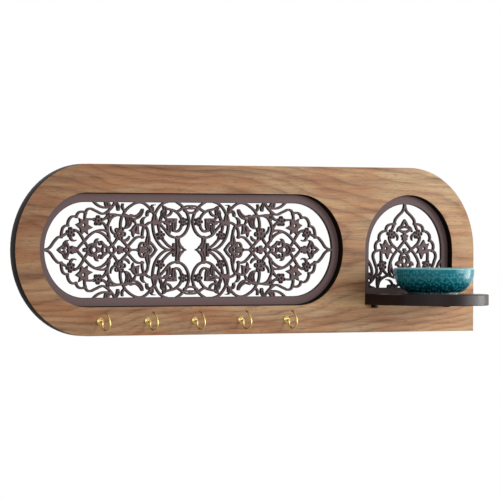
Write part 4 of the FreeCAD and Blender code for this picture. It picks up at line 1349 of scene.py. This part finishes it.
@dataclass
class ArchFret(Fret):
    """The arched fret: the end of the same drawing with its tip up, on a rail."""

    node: str = "arch_fret_panel"
    name: str = "arched"
    drawing: Drawing = END_OF_DRAWING
    rail_top_mm: float = -41.5
    start_reach_mm: float = 93.0
    screw_level_mm: float = -54.0
    screw_spacing_mm: float = 60.0
    screw_room_mm: float = 3.6
    base_mm: float = field(init=False)

    def __post_init__(self) -> None:
        """Takes the window's sizes from the panel's box, to the hundredth."""
        low, high = (Vector(corner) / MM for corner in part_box(self.node))
        self.middle_x_mm = round((low.x + high.x) / 2, 2)
        self.radius_mm = round((high.x - low.x) / 2 - self.grown_mm, 2)
        self.straight_mm = 0.0
        self.base_mm = round(low.z, 2)

    def outlines(self) -> tuple[list[Vector], list[Vector]]:
        """The panel's own outline and its opening's, with as many spots.

        Returns:
            The spots of both outlines.
        """
        found = []
        for grown, base in ((self.grown_mm, self.base_mm), (-self.border_mm,
                                                            self.rail_top_mm)):
            radius = self.radius_mm + grown
            spots = [Vector((-radius, base)), Vector((radius, base))]
            for step in range(self.arc_steps + 1):
                turn = math.pi * step / self.arc_steps
                spots.append(Vector((radius * math.cos(turn), radius * math.sin(turn))))
            found.append(spots)
        return found[0], found[1]

    def middle_line(self) -> tuple[Vector, Vector]:
        """The line that the window's outline runs round, from well below the panel.

        Returns:
            Its low and high end, in metres.
        """
        middle = self.middle_x_mm * MM
        return Vector((middle, 0, 2 * self.base_mm * MM)), Vector((middle, 0, 0))

    def places(self, spot: Vector) -> list[Vector]:
        """Where a spot of the drawing comes in this panel, about its middle.

        Args:
            spot: The spot, as its reach from the drawing's middle and its lift.

        Returns:
            The spot's place and its mirrored one.
        """
        tip = self.radius_mm - self.border_mm
        scale = (tip - self.rail_top_mm) / (self.tip_reach_mm - self.start_reach_mm)
        height = tip - (self.tip_reach_mm - spot.x) * scale
        return [Vector((side * spot.y, height)) for side in (-1, 1)]

    def add_screw_holes(self, pieces: FlatPieces) -> None:
        """Adds the holes for the shelf's screws.

        Args:
            pieces: The flat pieces to add to.
        """
        for side in (-1, 1):
            middle = Vector((side * self.screw_spacing_mm / 2, self.screw_level_mm))
            pieces.add_round(middle, self.screw_room_mm, Role.SCREW_HOLE)


# Shelf, bowl and fittings


@dataclass
class Shelf:
    """The dark shelf in the arched window."""

    finish: DarkStainedWood = DarkStainedWood()

    def build(self, frame: dict[str, Any]) -> bpy.types.Object:
        """Dresses the shelf's solid.

        Args:
            frame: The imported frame.

        Returns:
            The shelf.
        """
        shelf = frame["nodes"]["shelf"]
        dress(shelf, self.finish.material())
        return shelf


@dataclass
class Bowl:
    """The glazed bowl on the shelf."""

    foot_mm: float = 2.0
    finish: TurquoiseGlaze = TurquoiseGlaze()

    def build(self, frame: dict[str, Any]) -> bpy.types.Object:
        """Dresses the bowl's solid, with its pattern centred on it.

        Args:
            frame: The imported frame.

        Returns:
            The bowl.
        """
        bowl = frame["nodes"]["bowl"]
        low, high = (Vector(corner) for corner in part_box("bowl"))
        centre = Vector(((low.x + high.x) / 2, (low.y + high.y) / 2, low.z))
        glaze = self.finish.material(
            centre, (high.x - low.x) / 2, self.foot_mm * MM, high.z - low.z)
        dress(bowl, glaze)
        return bowl


@dataclass
class Fittings:
    """The brass cup hooks and the steel pins, screws and hanger plates."""

    brass: PlatedMetal = PlatedMetal(Metal.BRASS)
    zinc: PlatedMetal = PlatedMetal(Metal.ZINC)
    dark: PlatedMetal = PlatedMetal(Metal.DARK)

    def build(self, frame: dict[str, Any]) -> list[bpy.types.Object]:
        """Dresses every fitting's solid.

        Args:
            frame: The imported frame.

        Returns:
            The fittings.
        """
        zinc = self.zinc.material()
        # The shelf pins are painted dark, as the shade under the shelf
        metals = {"hook": self.brass.material(), "shelf_pin": self.dark.material(),
                  "shelf_screw": zinc, "hanger": zinc}
        fittings = []
        for name, item in frame["nodes"].items():
            for start, material in metals.items():
                if name.startswith(start):
                    dress(item, material)
                    fittings.append(item)
        return fittings


# Studio


@dataclass
class Lamp:
    """One soft lamp: where it stands, its size, its power and what it points at."""

    name: str
    place: tuple[float, float, float]
    size: float
    watts: float
    aim: tuple[float, float, float] = (0.05, 0.0, 0.0)

    def build(self) -> bpy.types.Object:
        """Stands the lamp up.

        Returns:
            The lamp.
        """
        data = bpy.data.lights.new(self.name, "AREA")
        data.shape = "SQUARE"
        data.size = self.size
        data.energy = self.watts
        lamp = bpy.data.objects.new(self.name, data)
        lamp.location = self.place
        way = Vector(self.aim) - Vector(self.place)
        lamp.rotation_euler = way.to_track_quat("-Z", "Y").to_euler()
        bpy.context.collection.objects.link(lamp)
        return lamp


@dataclass
class Studio:
    """A pale floor, a white surround, soft lamps and the camera."""

    floor_level: float = -0.42
    floor_size: float = 3.0
    floor_colour: str = "E8E6E2"
    floor_roughness: float = 0.8
    surround_level: float = 0.42
    lens_mm: float = 312.08
    sight: float = 50.0
    camera_place: tuple[float, float, float] = (-2.67691, -3.80241, 0.03173)
    camera_yaw_deg: float = -35.1789
    camera_pitch_deg: float = -0.3934
    camera_roll_deg: float = -0.2410
    lamps: tuple[Lamp, ...] = (
        Lamp("key lamp", (2.1, -1.9, 0.4), 1.4, 52.0),
        Lamp("fill lamp", (-1.4, -2.4, 0.8), 1.8, 14.0),
        Lamp("side lamp", (1.4, -0.35, -0.12), 0.6, 10.5, (0.25, -0.05, -0.03)),
    )

    def build(self) -> bpy.types.Object:
        """Builds the studio.

        Returns:
            The camera.
        """
        scene = bpy.context.scene
        scene.view_settings.view_transform = "Standard"
        self.lay_floor()
        self.light_surround(scene)
        for lamp in self.lamps:
            lamp.build()
        data = bpy.data.cameras.new("camera")
        data.lens = self.lens_mm
        data.clip_end = self.sight
        camera = bpy.data.objects.new("camera", data)
        camera.location = self.camera_place
        aim = Matrix.Rotation(math.radians(self.camera_yaw_deg), 3, "Z")
        aim @= Matrix.Rotation(math.radians(90 + self.camera_pitch_deg), 3, "X")
        aim @= Matrix.Rotation(math.radians(-self.camera_roll_deg), 3, "Z")
        camera.rotation_euler = aim.to_euler()
        bpy.context.collection.objects.link(camera)
        scene.camera = camera
        return camera

    def lay_floor(self) -> None:
        """Lays the pale floor."""
        half = self.floor_size / 2
        mesh = bpy.data.meshes.new("floor")
        corners = [(x, y, self.floor_level) for x, y in
                   ((-half, -half), (half, -half), (half, half), (-half, half))]
        mesh.from_pydata(corners, [], [(0, 1, 2, 3)])
        floor = bpy.data.objects.new("floor", mesh)
        bpy.context.collection.objects.link(floor)
        material, shader = new_material("matt pale floor")
        shader.inputs["Base Color"].default_value = linear(self.floor_colour)
        shader.inputs["Roughness"].default_value = self.floor_roughness
        dress(floor, material)

    def light_surround(self, scene: bpy.types.Scene) -> None:
        """Lights the surround softly, and shows it white behind and in reflections.

        Args:
            scene: The scene.
        """
        world = bpy.data.worlds.new("white surround")
        world.use_nodes = True
        scene.world = world
        tree = world.node_tree
        tree.nodes.clear()
        path = add_node(tree, "LightPath")
        seen = path.outputs["Is Camera Ray"]
        for kind in ("Is Glossy Ray", "Is Transmission Ray"):
            seen = add_node(
                tree, "Math", {"operation": "MAXIMUM"}, {0: seen, 1: path.outputs[kind]})
        strength = add_node(
            tree, "MapRange", inputs={"Value": seen, "To Min": self.surround_level})
        light = add_node(
            tree, "Background", inputs={"Color": (1.0, 1.0, 1.0, 1.0), "Strength": strength})
        add_node(tree, "OutputWorld", inputs={"Surface": light})


# The whole


def main() -> None:
    """Builds every piece in order and reports it."""
    logging.basicConfig(level=logging.INFO, format="%(name)s: %(message)s")
    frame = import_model()
    builders = (
        Board(),
        Fret(),
        ArchFret(),
        Shelf(),
        Bowl(),
        Fittings(),
    )
    for builder in builders:
        made = builder.build(frame)
        for item in made if isinstance(made, list) else [made]:
            LOG.info("%s: %d faces", item.name, len(item.data.polygons))
    Studio().build()
    LOG.info("sizes written")


if __name__ == "__main__":
    main()
